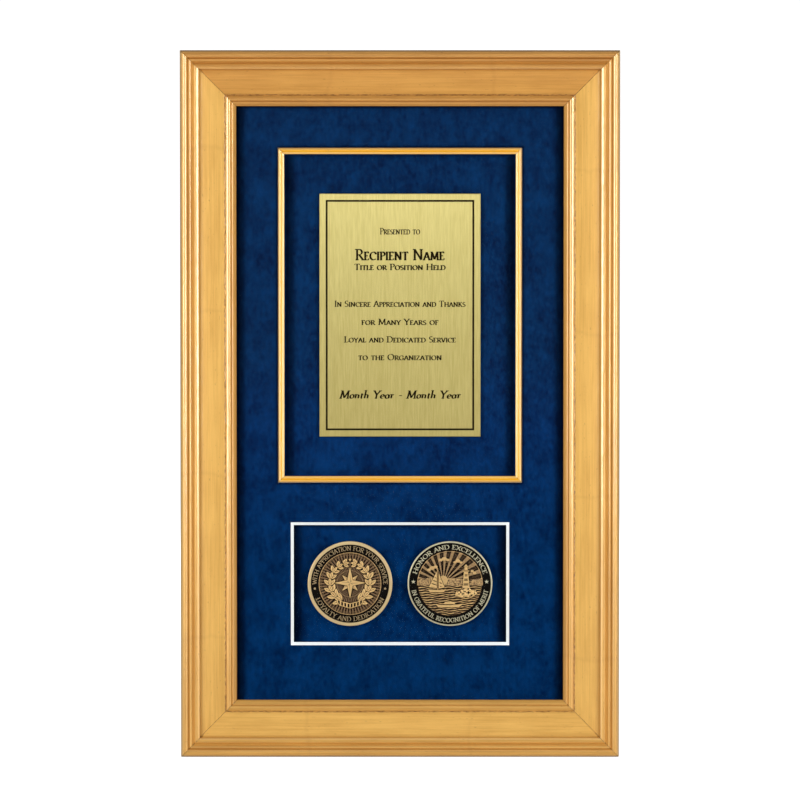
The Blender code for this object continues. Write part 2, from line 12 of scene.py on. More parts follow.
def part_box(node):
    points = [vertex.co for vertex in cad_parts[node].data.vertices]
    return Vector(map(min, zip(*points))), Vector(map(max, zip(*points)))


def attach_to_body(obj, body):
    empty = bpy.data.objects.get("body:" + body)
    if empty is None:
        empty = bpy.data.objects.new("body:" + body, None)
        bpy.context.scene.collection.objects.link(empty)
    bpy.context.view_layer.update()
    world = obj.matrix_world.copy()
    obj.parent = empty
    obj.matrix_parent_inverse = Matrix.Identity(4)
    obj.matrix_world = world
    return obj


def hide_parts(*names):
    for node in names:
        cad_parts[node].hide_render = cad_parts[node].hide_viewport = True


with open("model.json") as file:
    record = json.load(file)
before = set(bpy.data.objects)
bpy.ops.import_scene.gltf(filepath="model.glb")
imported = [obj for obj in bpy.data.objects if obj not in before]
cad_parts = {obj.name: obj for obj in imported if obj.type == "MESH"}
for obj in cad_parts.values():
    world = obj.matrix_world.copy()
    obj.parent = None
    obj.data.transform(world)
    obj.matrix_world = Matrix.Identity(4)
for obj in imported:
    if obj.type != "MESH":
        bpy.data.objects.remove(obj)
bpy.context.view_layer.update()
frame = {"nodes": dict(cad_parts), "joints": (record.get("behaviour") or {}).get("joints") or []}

MM = 0.001
SIDE_TURNS = {"bottom": 0.0, "top": pi, "left": pi / 2, "right": -pi / 2}
FRAME = "frame"
HANGER = "wire_hanger"

# --- Measures read from the CAD frame ---
RAIL_LOW, RAIL_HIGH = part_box("rail_left")
BOTTOM_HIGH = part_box("rail_bottom")[1]
FRAME_WIDTH = -2 * RAIL_LOW.x
FRAME_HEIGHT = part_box("rail_top")[1].z
CENTRE_Z = FRAME_HEIGHT / 2
BACK_Y = RAIL_HIGH.y
MOULDING_WIDTH = BOTTOM_HIGH.z
MOULDING_DEPTH = RAIL_HIGH.y - RAIL_LOW.y
RABBET_WIDTH = 6.0 * MM
RABBET_DEPTH = 20.0 * MM
MITRE_LINE = 0.16 * MM  # width of the line seen along a mitre


def extent(node):
    low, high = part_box(node)
    return high - low


# --- Gathering and making meshes ---
class Shell:
    """Points, faces, face slots and point values gathered for one piece."""

    def __init__(self):
        self.points = []
        self.faces = []
        self.slots = []
        self.values = {}
        self.count = 0

    def add(self, points, faces, slot=0, **values):
        points = np.asarray(points, float).reshape(-1, 3)
        base = self.count
        self.faces += [tuple(int(i) + base for i in face) for face in faces]
        self.slots += list(slot) if isinstance(slot, (list, np.ndarray)) else [slot] * len(faces)
        for name in set(values) | set(self.values):
            earlier = self.values.setdefault(name, [np.zeros(base)])
            given = np.broadcast_to(np.asarray(values.get(name, 0.0), float).ravel(), (len(points),))
            earlier.append(given)
        self.points.append(points)
        self.count += len(points)


def make_piece(name, shell, materials, body, nodes=(), place=None, angle=35, recalc=True):
    """A shell as an object with its materials, riding on a body and standing for CAD nodes."""
    mesh = bpy.data.meshes.new(name)
    mesh.from_pydata(np.concatenate(shell.points).tolist(), [], shell.faces)
    for material in materials:
        mesh.materials.append(material)
    mesh.polygons.foreach_set("material_index", np.array(shell.slots, np.int32))
    for label, parts in shell.values.items():
        layer = mesh.attributes.new(label, "FLOAT", "POINT")
        layer.data.foreach_set("value", np.concatenate(parts).astype(np.float32))
    if recalc:
        bm = bmesh.new()
        bm.from_mesh(mesh)
        bmesh.ops.recalc_face_normals(bm, faces=bm.faces)
        bm.to_mesh(mesh)
        bm.free()
    mesh.shade_smooth()
    mesh.set_sharp_from_angle(angle=radians(angle))
    return place_piece(name, mesh, body, nodes, place)


def place_piece(name, mesh, body, nodes=(), place=None):
    made = bpy.data.objects.new(name, mesh)
    bpy.context.scene.collection.objects.link(made)
    if place is not None:
        made.matrix_world = place
    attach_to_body(made, body)
    if nodes:
        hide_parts(*nodes)
    return made


def grid_faces(rows, columns, wrap_rows=False, wrap_columns=False):
    faces = []
    for i in range(rows if wrap_rows else rows - 1):
        below = (i + 1) % rows
        for j in range(columns if wrap_columns else columns - 1):
            right = (j + 1) % columns
            faces.append((i * columns + j, i * columns + right, below * columns + right, below * columns + j))
    return faces


def loft(shell, rings, slot=0, cap=True, close=False, **values):
    """Join equal rings of points; cap closes the ends, close joins the last ring to the first."""
    rings = np.asarray(rings, float)
    rows, columns = rings.shape[:2]
    faces = grid_faces(rows, columns, wrap_rows=close, wrap_columns=True)
    if cap and not close:
        faces.append(tuple(range(columns)))
        faces.append(tuple(range((rows - 1) * columns, rows * columns)))
    shell.add(rings.reshape(-1, 3), faces, slot, **values)


def revolve(shell, profile, segments, centre=(0, 0, 0), slot=0):
    """Turn (radius, y) points about the Y axis; points on the axis close the ends."""
    centre = np.array(centre, float)
    angles = np.arange(segments) * 2 * pi / segments
    rings = []
    for radius, y in profile:
        r = max(radius, 1e-6)
        rings.append(centre + np.stack([r * np.cos(angles), np.full(segments, y), r * np.sin(angles)], -1))
    loft(shell, rings, slot)


def tube(shell, path, radius, segments=10, slot=0, close=False):
    """A round tube along a path of points."""
    path = [Vector(p) for p in path]
    count = len(path)
    side = None
    rings = []
    for i, point in enumerate(path):
        before = path[i - 1] if close or i else point
        after = path[(i + 1) % count] if close or i < count - 1 else point
        tangent = (after - before).normalized()
        side = side or tangent.orthogonal()
        side = (side - tangent * side.dot(tangent)).normalized()
        up = tangent.cross(side)
        turns = [2 * pi * k / segments for k in range(segments)]
        rings.append([point + radius * (side * cos(a) + up * sin(a)) for a in turns])
    loft(shell, rings, slot, close=close)


def rounded_plate(shell, outline, front, back, edge, slot=0, steps=3):
    """A flat plate from an anticlockwise (x, z) outline, with its rim rounded by edge on both faces."""
    outline = np.asarray(outline, float)
    ahead = np.roll(outline, -1, 0) - outline
    behind = outline - np.roll(outline, 1, 0)
    normals = np.stack([ahead[:, 1] + behind[:, 1], -ahead[:, 0] - behind[:, 0]], -1)
    normals /= np.linalg.norm(normals, axis=1, keepdims=True)
    rings = []
    for y, sign in ((front, 1), (back, -1)):
        turns = [pi / 2 * k / steps for k in range(steps + 1)]
        for t in turns if sign > 0 else reversed(turns):
            ring = outline - normals * edge * (1 - sin(t))
            rings.append(np.stack([ring[:, 0], np.full(len(ring), y + sign * edge * (1 - cos(t))), ring[:, 1]], -1))
    loft(shell, rings, slot)


def cell_noise(u, v, seed):
    """Smooth noise from 0 to 1 over two coordinates, one cell per unit."""
    table = np.random.default_rng(seed).random((64, 64))
    i = np.floor(u).astype(int)
    j = np.floor(v).astype(int)
    a = u - i
    b = v - j
    a = a * a * (3 - 2 * a)
    b = b * b * (3 - 2 * b)
    low = table[i % 64, j % 64] * (1 - a) + table[(i + 1) % 64, j % 64] * a
    high = table[i % 64, (j + 1) % 64] * (1 - a) + table[(i + 1) % 64, (j + 1) % 64] * a
    return low * (1 - b) + high * b


# --- Materials ---
LEAF_SHEET = 85.0 * MM  # length of one sheet of gold leaf


class Finish:
    """A node material and short calls that add its nodes."""

    def __init__(self, name):
        self.material = bpy.data.materials.new(name)
        self.material.use_nodes = True
        self.tree = self.material.node_tree
        self.surface = self.tree.nodes["Principled BSDF"]
        self.place = self.node("TexCoord", "Object")

    def node(self, kind, out=0, settings=None, **inputs):
        made = self.tree.nodes.new("ShaderNode" + kind)
        for key, value in (settings or {}).items():
            setattr(made, key, value)
        for key, value in inputs.items():
            socket = made.inputs[int(key[1:])] if key[1:].isdigit() else made.inputs[key.replace("_", " ")]
            self.feed(socket, value)
        return made.outputs[out]

    def feed(self, socket, value):
        if isinstance(value, bpy.types.NodeSocket):
            self.tree.links.new(value, socket)
        elif socket.type == "RGBA" and len(value) == 3:
            socket.default_value = (*value, 1.0)
        else:
            socket.default_value = value

    def scaled(self, x, y, z):
        return self.node("Mapping", Vector=self.place, Scale=(x, y, z))

    def noise(self, scale=1.0, vector=None, detail=2.0, roughness=0.5):
        vector = vector or self.place
        return self.node("TexNoise", Vector=vector, Scale=scale, Detail=detail, Roughness=roughness)

    def value(self, name):
        return self.node("Attribute", "Fac", {"attribute_name": name})

    def maths(self, operation, a, b=0.0, clamp=False):
        return self.node("Math", 0, {"operation": operation, "use_clamp": clamp}, i0=a, i1=b)

    def span(self, value, low, high, to_low=0.0, to_high=1.0):
        """value from low..high to to_low..to_high, clamped."""
        return self.node("MapRange", i0=value, i1=low, i2=high, i3=to_low, i4=to_high)

    def mix(self, amount, a, b, blend="MIX"):
        made = self.tree.nodes.new("ShaderNodeMix")
        made.data_type = "RGBA"
        made.blend_type = blend
        self.feed(made.inputs[0], amount)
        self.feed(made.inputs[6], a)
        self.feed(made.inputs[7], b)
        return made.outputs[2]

    def bump(self, height, strength=0.5, distance=0.0001, normal=None):
        bumped = self.node("Bump", Height=height, Strength=strength, Distance=distance)
        if normal:
            self.tree.links.new(normal, bumped.node.inputs["Normal"])
        return bumped

    def direct_only(self, amount):
        """An amount for what the camera sees, 0 for light on its way to a matte surface: keeps sparkle off it."""
        bounced = self.node("LightPath", "Is Diffuse Ray")
        return self.maths("MULTIPLY", amount, self.maths("SUBTRACT", 1.0, bounced))

    def finish(self, **inputs):
        for key, value in inputs.items():
            self.feed(self.surface.inputs[key.replace("_", " ")], value)
        return self.material


def gold_leaf(
    name="gold_leaf",
    light=(0.83, 0.485, 0.118),
    deep=(0.69, 0.38, 0.083),
    wear=1.0,
    burnish=(0.97, 0.92, 0.86),
    metallic=0.26,
):
    """Brushed gold leaf with long strokes, leaf laps, brown rubbed into hollows and along the scribed line, and
    painted shade where its shade value is set.
    """
    f = Finish(name)
    strokes = f.noise(1.0, f.scaled(22, 1100, 1100), 4, 0.68)
    fine = f.noise(1.0, f.scaled(90, 2800, 2800), 2, 0.6)
    clouds = f.noise(1.0, f.scaled(30, 120, 120), 4, 0.6)
    tone = f.maths("ADD", f.maths("MULTIPLY", strokes, 0.6), f.maths("MULTIPLY", clouds, 0.4))
    colour = f.mix(f.span(tone, 0.40, 0.60), deep, light)
    along = f.node("SeparateXYZ", 0, Vector=f.place)
    wobble = f.maths("MULTIPLY", f.noise(60.0), 0.012)
    sheet = f.maths("MULTIPLY", f.maths("ADD", along, wobble), 1 / LEAF_SHEET)
    lap = f.maths("ABSOLUTE", f.maths("SUBTRACT", f.maths("FRACT", sheet), 0.5))
    colour = f.mix(f.span(lap, 0.0, 0.02, 0.12, 0.0), colour, (0.42, 0.19, 0.035))
    hollow = f.maths("MULTIPLY", f.value("hollow"), f.span(strokes, 0.35, 0.65, 0.45, 1.0))
    colour = f.mix(f.maths("MULTIPLY", hollow, 0.45 * wear, True), colour, (0.26, 0.10, 0.020))
    colour = f.mix(f.maths("MULTIPLY", f.value("crest"), 0.40), colour, (0.95, 0.68, 0.32))
    scratch = f.noise(1.0, f.scaled(420, 2200, 2200), 3, 0.7)
    rub = f.maths("MULTIPLY", f.value("scribe"), f.span(scratch, 0.42, 0.60))
    colour = f.mix(f.maths("MULTIPLY", rub, 0.9, True), colour, (0.11, 0.045, 0.015))
    flecks = f.noise(1500.0, f.scaled(0.35, 1, 1), 1)
    colour = f.mix(f.span(flecks, 0.72, 0.77, 0.0, 0.35 * wear), colour, (0.20, 0.09, 0.025))
    burnished = f.value("burnished")
    lines = f.noise(1.0, f.scaled(5, 1500, 1500), 2)
    lines = f.maths("MULTIPLY", burnished, f.span(lines, 0.50, 0.64, 0.0, 0.37 * wear))
    colour = f.mix(lines, colour, (0.42, 0.19, 0.04))
    colour = f.mix(burnished, colour, burnish, "MULTIPLY")
    # painted shade: the shade value darkens and warms the moulding's top side, the side lips and the fillet's top and
    # bottom
    colour = f.mix(f.value("shade"), colour, (0.79, 0.665, 0.56), "MULTIPLY")
    side_wall = f.mix(f.span(clouds, 0.35, 0.65), (0.25, 0.140, 0.047), (0.31, 0.175, 0.060))
    side_wall = f.mix(f.span(strokes, 0.50, 0.68, 0.0, 0.45), side_wall, (0.44, 0.26, 0.09))
    colour = f.mix(f.maths("MULTIPLY", f.value("flank"), 0.85), colour, side_wall)
    roughness = f.span(strokes, 0.35, 0.65, 0.42, 0.54)
    roughness = f.maths("SUBTRACT", roughness, f.maths("MULTIPLY", burnished, 0.07))
    roughness = f.maths("ADD", roughness, f.maths("MULTIPLY", hollow, 0.25))
    gloss = f.span(burnished, 0.0, 1.0, 0.30, 0.85)
    height = f.maths("ADD", f.maths("MULTIPLY", strokes, 0.7), f.maths("MULTIPLY", fine, 0.3))
    return f.finish(
        Base_Color=colour,
        Metallic=f.direct_only(f.span(burnished, 0.0, 1.0, 0.7 * metallic, metallic)),
        Roughness=roughness,
        Specular_IOR_Level=f.direct_only(0.3),
        Coat_Weight=f.direct_only(f.maths("SUBTRACT", gloss, f.maths("ADD", hollow, f.value("flank")), True)),
        Coat_Roughness=f.span(strokes, 0.35, 0.65, 0.14, 0.21),
        Normal=f.bump(height, 0.35, 0.00012),
    )


def raw_wood():
    """Pale softwood with growth bands along the rail, for the backs and rabbets."""
    f = Finish("raw_wood")
    warp = f.noise(1.0, f.scaled(6, 60, 60), 3)
    bands = f.node(
        "TexWave",
        "Fac",
        {"wave_type": "BANDS", "bands_direction": "Z"},
        Vector=f.scaled(4, 180, 180),
        Scale=1.6,
        Distortion=7.0,
        Detail=3.0,
    )
    fibre = f.noise(1.0, f.scaled(40, 2200, 2200), 3, 0.7)
    colour = f.mix(bands, (0.52, 0.33, 0.17), (0.66, 0.47, 0.27))
    colour = f.mix(f.span(fibre, 0.35, 0.75, 0.0, 0.45), colour, (0.36, 0.20, 0.09))
    colour = f.mix(f.span(warp, 0.55, 0.8, 0.0, 0.25), colour, (0.45, 0.25, 0.12))
    return f.finish(Base_Color=colour, Roughness=0.72, Normal=f.bump(fibre, 0.35, 0.00015))


def suede(name, dark, light, sheen):
    """Short navy nap: brushed patches, fine pile and a soft sheen; painted sheen greys it towards the top and leaves
    it bluer lower down, and painted shadow darkens it where its shade value is set.
    """
    f = Finish(name)
    patches = f.noise(1.0, f.scaled(70, 70, 60), 6, 0.72)
    strokes = f.noise(1.0, f.scaled(560, 560, 330), 3, 0.62)
    pile = f.noise(2600.0, detail=2, roughness=0.7)
    tone = f.maths("ADD", f.maths("MULTIPLY", patches, 0.62), f.maths("MULTIPLY", strokes, 0.38))
    colour = f.mix(f.span(tone, 0.37, 0.63), dark, light)
    colour = f.mix(f.span(pile, 0.35, 0.7, 0.30, 0.0), colour, tuple(0.45 * c for c in dark))
    up = f.node("SeparateXYZ", 2, Vector=f.place)
    # painted sheen: greyer towards the top, deeper blue lower down
    painted_top_sheen = f.span(f.maths("ADD", up, f.maths("MULTIPLY", patches, 0.03)), 0.11, 0.20, 0.0, 0.0026)
    colour = f.mix(1.0, colour, f.node("CombineColor", 0, Red=painted_top_sheen), "ADD")
    colour = f.mix(f.span(up, 0.17, 0.21, 1.0, 0.0), colour, (0.95, 1.04, 1.19), "MULTIPLY")
    # painted shadow: near black, with less sheen, where the shade value is set along lips, window walls and fillet
    # edges
    colour = f.mix(f.maths("MULTIPLY", f.value("shade"), 0.95, True), colour, (0.0008, 0.0014, 0.004))
    nap = f.bump(pile, 0.55, 0.00022)
    nap = f.bump(strokes, 0.35, 0.0004, nap)
    return f.finish(
        Base_Color=colour,
        Roughness=0.95,
        Specular_IOR_Level=0.0,
        Sheen_Weight=f.span(f.value("shade"), 0.0, 0.8, sheen, 0.0),
        Sheen_Roughness=0.45,
        Sheen_Tint=(0.03, 0.22, 0.62),
        Normal=nap,
    )


def board_core(name="white_core", colour=(0.95, 0.97, 1.0), shade=(0.90, 0.92, 0.96), glow=0.16):
    """White board, with a painted glow standing in for light that soaks through a cut edge."""
    f = Finish(name)
    fibre = f.noise(900.0, detail=3)
    tone = f.mix(f.span(fibre, 0.4, 0.75, 0.0, 0.35), colour, shade)
    return f.finish(
        Base_Color=tone,
        Roughness=0.75,
        Emission_Color=tone,
        Emission_Strength=glow,
        Normal=f.bump(fibre, 0.2, 0.00008),
    )


def brushed_brass():
    """Satin brass sheet brushed from top to bottom, with painted shade darkening its lower part."""
    f = Finish("brushed_brass")
    streaks = f.noise(1.0, f.scaled(1500, 1500, 90), 2, 0.6)
    broad = f.noise(1.0, f.scaled(900, 900, 30), 2)
    clouds = f.noise(28.0, detail=2)
    tone = f.maths("ADD", f.maths("MULTIPLY", streaks, 0.7), f.maths("MULTIPLY", broad, 0.3))
    colour = f.mix(f.span(tone, 0.38, 0.62), (0.575, 0.465, 0.152), (0.665, 0.55, 0.20))
    colour = f.mix(f.span(clouds, 0.4, 0.7, 0.0, 0.10), colour, (0.60, 0.47, 0.15))
    # painted shade: the plate darker towards its bottom, away from the light above
    height = f.node("SeparateXYZ", 2, Vector=f.place)
    colour = f.mix(f.span(height, 0.16, 0.26, 1.0, 0.0), colour, (0.93, 0.90, 0.86), "MULTIPLY")
    return f.finish(
        Base_Color=colour,
        Metallic=f.direct_only(0.5),
        Specular_IOR_Level=f.direct_only(0.5),
        Roughness=f.span(streaks, 0.3, 0.7, 0.295, 0.315),
        Normal=f.bump(streaks, 0.05, 0.00006),
    )


def filled_ink():
    f = Finish("black_fill")
    grain = f.noise(3500.0, detail=2)
    colour = f.mix(grain, (0.010, 0.006, 0.002), (0.024, 0.015, 0.005))
    return f.finish(Base_Color=colour, Roughness=0.8, Specular_IOR_Level=0.04, Normal=f.bump(grain, 0.2, 0.00003))


def antique(name, high, pale, mid, low):
    """Struck metal: black in the recesses, brown on the ground, rubbed bright on high points and pale on the rim."""
    f = Finish(name)
    rub = f.noise(900.0, detail=3, roughness=0.65)
    worn = f.maths("ADD", f.value("lift"), f.maths("MULTIPLY", f.maths("SUBTRACT", rub, 0.5), 0.24))
    colour = f.mix(f.span(worn, 0.04, 0.34), low, mid)
    colour = f.mix(f.span(worn, 0.46, 0.80), colour, f.mix(f.value("pale"), high, pale))
    colour = f.mix(f.value("hollow"), colour, low)
    bright = f.maths("SUBTRACT", f.span(worn, 0.1, 0.6), f.value("hollow"), True)
    return f.finish(
        Base_Color=colour,
        Metallic=f.direct_only(f.span(bright, 0.0, 1.0, 0.0, 0.55)),
        Specular_IOR_Level=f.direct_only(f.span(bright, 0.0, 1.0, 0.03, 0.5)),
        Roughness=f.span(bright, 0.0, 1.0, 0.62, 0.36),
        Normal=f.bump(rub, 0.16, 0.00006),
    )


def zinc(name="zinc_plate", tint=(0.62, 0.63, 0.64)):
    f = Finish(name)
    clouds = f.noise(260.0, detail=4, roughness=0.6)
    scratch = f.noise(1.0, f.scaled(4000, 900, 500), 2)
    spangle = f.mix(f.span(clouds, 0.35, 0.7), tuple(0.72 * c for c in tint), tint)
    colour = f.mix(f.span(scratch, 0.62, 0.72, 0.0, 0.4), spangle, (0.80, 0.80, 0.78))
    return f.finish(
        Base_Color=colour, Metallic=1.0, Roughness=f.span(clouds, 0.3, 0.7, 0.26, 0.46), Normal=f.bump(scratch, 0.12, 0.00005)
    )


def hardboard():
    """Pressed brown fibreboard: mottled fibres with a faint sheen."""
    f = Finish("hardboard")
    fibres = f.noise(1.0, f.scaled(900, 900, 420), 5, 0.7)
    clumps = f.noise(170.0, detail=4, roughness=0.65)
    broad = f.noise(14.0, detail=2)
    colour = f.mix(f.span(clumps, 0.35, 0.7), (0.115, 0.056, 0.024), (0.22, 0.118, 0.055))
    colour = f.mix(f.span(fibres, 0.5, 0.75, 0.0, 0.65), colour, (0.33, 0.21, 0.115))
    colour = f.mix(f.span(broad, 0.4, 0.7, 0.0, 0.3), colour, (0.13, 0.07, 0.035))
    return f.finish(Base_Color=colour, Roughness=f.span(clumps, 0.3, 0.7, 0.42, 0.62), Normal=f.bump(fibres, 0.25, 0.0001))


def rubber():
    f = Finish("bumper_rubber")
    grain = f.noise(2200.0, detail=3)
    colour = f.mix(grain, (0.012, 0.012, 0.013), (0.045, 0.045, 0.047))
    return f.finish(Base_Color=colour, Roughness=0.78, Normal=f.bump(grain, 0.3, 0.00008))


def clear_pane():
    """Clear low-reflection pane: light passes through, with a faint mirror at a slant."""
    f = Finish("clear_pane")
    through = f.node("BsdfTransparent", Color=(0.985, 0.995, 0.99, 1.0))
    shine = f.node("BsdfGlossy", Color=(0.9, 0.95, 1.0, 1.0), Roughness=0.03)
    slant = f.node("LayerWeight", "Fresnel", Blend=0.12)
    dust = f.noise(900.0, detail=3)
    share = f.direct_only(f.maths("MULTIPLY", slant, f.span(dust, 0.3, 0.8, 0.16, 0.24)))
    mixed = f.node("MixShader", i0=share, i1=through, i2=shine)
    f.tree.links.new(mixed, f.tree.nodes["Material Output"].inputs["Surface"])
    return f.material


GOLD = gold_leaf()
FILLET_GOLD = gold_leaf("fillet_gold", (1.0, 0.49, 0.010), (0.96, 0.41, 0.004), 0.8, (1.0, 1.0, 1.0), 0.10)
WOOD = raw_wood()
SUEDE = suede("navy_suede", (0.0005, 0.0118, 0.049), (0.0015, 0.0370, 0.134), 0.12)
DEEP_SUEDE = suede("navy_suede_deep", (0.0005, 0.0120, 0.051), (0.0015, 0.0390, 0.141), 0.12)
CORE = board_core()
FOAM = board_core("foam_core", (0.80, 0.80, 0.78), (0.62, 0.62, 0.60), 0.0)
TAPE = board_core("white_tape", (0.75, 0.76, 0.74), (0.6, 0.6, 0.58), 0.0)
BRASS = brushed_brass()
INK = filled_ink()
BRONZE = antique(
    "antique_bronze", (0.74, 0.47, 0.195), (0.68, 0.61, 0.42), (0.215, 0.120, 0.060), (0.005, 0.0038, 0.003)
)
ZINC = zinc()
FIBRE = hardboard()
RUBBER = rubber()
PANE = clear_pane()


# --- Moulding and fillet: profiles mitred round a rectangle ---
# Stretches of the moulding's face in millimetres: start, end, height at the start and end, rise of the curve.
MOULDING_FACE = (
    (0.0, 1.2, 29.6, 31.6, 0.3),  # outer bead: its outer flank,
    (1.2, 2.2, 31.6, 31.98, 0.05),  # its two gently sloping tops
    (2.2, 3.3, 31.98, 31.55, 0.05),
    (3.3, 4.1, 31.55, 30.2, 0.2),  # and its inner flank
    (4.1, 4.8, 30.2, 30.8, 0.15),  # second bead
    (4.8, 5.6, 30.8, 30.5, 0.06),
    (5.6, 6.2, 30.5, 29.6, 0.12),
    (6.7, 8.0, 29.3, 30.15, 0.2),  # ridge above the step: its outer slope
    (8.0, 9.7, 30.15, 29.47, 0.08),  # and its flat inner slope
    (10.0, 22.9, 27.4, 25.0, -0.8),  # scooped band
    (23.4, 25.1, 24.7, 25.28, 0.08),  # inner bead, sloping outwards
    (25.1, 25.9, 25.28, 25.0, 0.06),
    (25.9, 26.5, 25.0, 24.3, 0.1),
    (26.7, 29.0, 24.6, 22.9, 0.3),  # lip
)
SCRIBED_LINE = 22.9 * MM  # where the brown rubbed line runs
LIP_START = 26.6 * MM
# painted shade on the fillet's top and bottom sticks, none on its sides
FILLET_SHADE = {"bottom": 0.05, "top": 0.15, "left": 0.0, "right": 0.0}
MATTE_BAND = (9.9 * MM, 23.0 * MM)  # the scooped band is matte, the beads beside it are burnished
PROFILE_STEP = 0.22 * MM


def bulge(start, end, start_height, end_height, rise, steps):
    """Points of a half-ellipse bulge, or hollow, between two heights."""
    t = np.linspace(0, pi, steps + 1)
    along = (1 - np.cos(t)) / 2
    height = start_height + (end_height - start_height) * along + rise * np.sin(t)
    return np.stack([start + (end - start) * along, height], -1)


def evenly(points, step):
    """The same line with its points about a step apart."""
    points = np.asarray(points, float)
    lengths = np.hypot(*np.diff(points, axis=0).T)
    travelled = np.concatenate([[0], np.cumsum(lengths)])
    keep = [0.0]
    for start, length in zip(travelled[:-1], lengths):
        pieces = max(1, int(round(length / step)))
        keep += [start + length * (k + 1) / pieces for k in range(pieces)]
    keep = np.array(keep)
    return np.stack([np.interp(keep, travelled, points[:, 0]), np.interp(keep, travelled, points[:, 1])], -1)


def moulding_profile():
    """The closed outline as (inward, height above the back), split into the gilded face's points and the bare points
    of the rabbet and back.
    """
    face = [np.array([[0.0, 0.0]])]
    for stretch in MOULDING_FACE:
        steps = max(6, int((stretch[1] - stretch[0]) * 5))
        face.append(bulge(*stretch, steps) * MM)
    face = evenly(np.concatenate(face), PROFILE_STEP)
    wall = MOULDING_WIDTH - RABBET_WIDTH
    bare = np.array([[MOULDING_WIDTH, RABBET_DEPTH], [wall, RABBET_DEPTH], [wall, 0.0]])
    return face, bare


def hollows_and_crests(face, reach=0.55 * MM, depth=0.30 * MM):
    """How far each point of a profile lies below (hollow) or above (crest) the smoothed profile, 0 to 1."""
    inward, height = face.T
    weights = np.exp(-(((inward[:, None] - inward[None, :]) / reach) ** 2))
    weights *= np.abs(height[:, None] - height[None, :]) < 4 * MM
    smooth = (weights @ height) / weights.sum(1)
    drop = (smooth - height) / depth
    return np.clip(drop, 0, 1), np.clip(-drop, 0, 1)


def depth_of_shade(side, inward, burnished):
    """Painted shade across the moulding: all of the top side, a little less on its burnished parts, and the lip of the
    left and right sides; none on the bottom side.
    """
    if side == "top":
        return 1.15 - 0.30 * burnished
    if side == "bottom":
        return 0.0 * burnished
    return np.where(inward > LIP_START, 0.45, 0.0)


def mitred_side(name, side, face, bare, size, centre_z, base_y, materials, nodes, spacing, seed, wave, flank_width, matte, shaded):
    """One mitred stick, its face worn by small waves and dents, in its own frame with X along its length."""
    upright = side in ("left", "right")
    width, height = size
    half = (height if upright else width) / 2 - MITRE_LINE / 2 * 2**0.5
    reach = (width if upright else height) / 2
    outline = np.concatenate([face, bare])
    hollow, crest = hollows_and_crests(face)
    pad = np.zeros(len(bare))
    hollow = np.concatenate([hollow, pad])
    crest = np.concatenate([crest, pad])
    rows = int(2 * half / spacing)
    s = np.linspace(-1, 1, rows)
    inward = np.broadcast_to(outline[:, 0], (rows, len(outline))).copy()
    lift = np.broadcast_to(outline[:, 1], (rows, len(outline))).copy()
    x = s[:, None] * (half - inward)
    gilded = np.concatenate([np.ones(len(face)), pad])
    flank = np.clip(1 - outline[:, 0] / flank_width, 0, 1) * gilded
    burnished = gilded * ((outline[:, 0] < matte[0]) | (outline[:, 0] > matte[1]))
    shade = depth_of_shade(side, outline[:, 0], burnished) if shaded else FILLET_SHADE[side]
    slow = cell_noise(x / (14 * MM) + seed, inward / (5 * MM), seed)
    quick = cell_noise(x / (2.2 * MM) + seed, inward / (0.9 * MM), seed + 1)
    sink = (0.6 * slow + 0.4 * quick) * wave * gilded
    sink = sink * np.clip(outline[:, 1] / (4 * MM), 0, 1)
    scribe = np.exp(-(((inward - SCRIBED_LINE - 0.25 * MM) / (0.42 * MM)) ** 2)) * gilded
    chatter = cell_noise(x / (1.6 * MM), inward / (0.5 * MM), seed + 2)
    sink = sink + (0.22 * MM * scribe * (0.25 + 0.75 * chatter) if bare is not None and wave > 0.03 * MM else 0)
    lift = lift - sink
    points = np.stack([x, base_y - lift, inward], -1)
    shell = Shell()
    columns = len(outline)
    faces = grid_faces(rows, columns, wrap_columns=True)
    slots = [1 if j >= len(face) else 0 for _ in range(rows - 1) for j in range(columns)]
    faces.append(tuple(range(columns)))
    faces.append(tuple(range((rows - 1) * columns, rows * columns)))
    slots += [1, 1]
    shell.add(
        points,
        faces,
        slots,
        hollow=np.broadcast_to(hollow, x.shape),
        crest=np.broadcast_to(crest, x.shape),
        scribe=scribe if wave > 0.03 * MM else np.zeros_like(scribe),
        shade=np.broadcast_to(shade, x.shape),
        flank=np.broadcast_to(flank, x.shape),
        burnished=np.broadcast_to(burnished, x.shape),
    )
    turn = Matrix.Rotation(SIDE_TURNS[side], 4, "Y")
    location = Vector((0, 0, centre_z)) - reach * (turn.to_3x3() @ Vector((0, 0, 1)))
    make_piece(name, shell, materials, FRAME, nodes, Matrix.Translation(location) @ turn, angle=32)


def add_moulding():
    face, bare = moulding_profile()
    size = (FRAME_WIDTH, FRAME_HEIGHT)
    for seed, side in enumerate(SIDE_TURNS):
        mitred_side(
            f"moulding_{side}", side, face, bare, size, CENTRE_Z, BACK_Y, (GOLD, WOOD),
            [f"rail_{side}"], 1.1 * MM, 11 + 5 * seed, 0.07 * MM, 0.5 * MM, MATTE_BAND, True,
        )


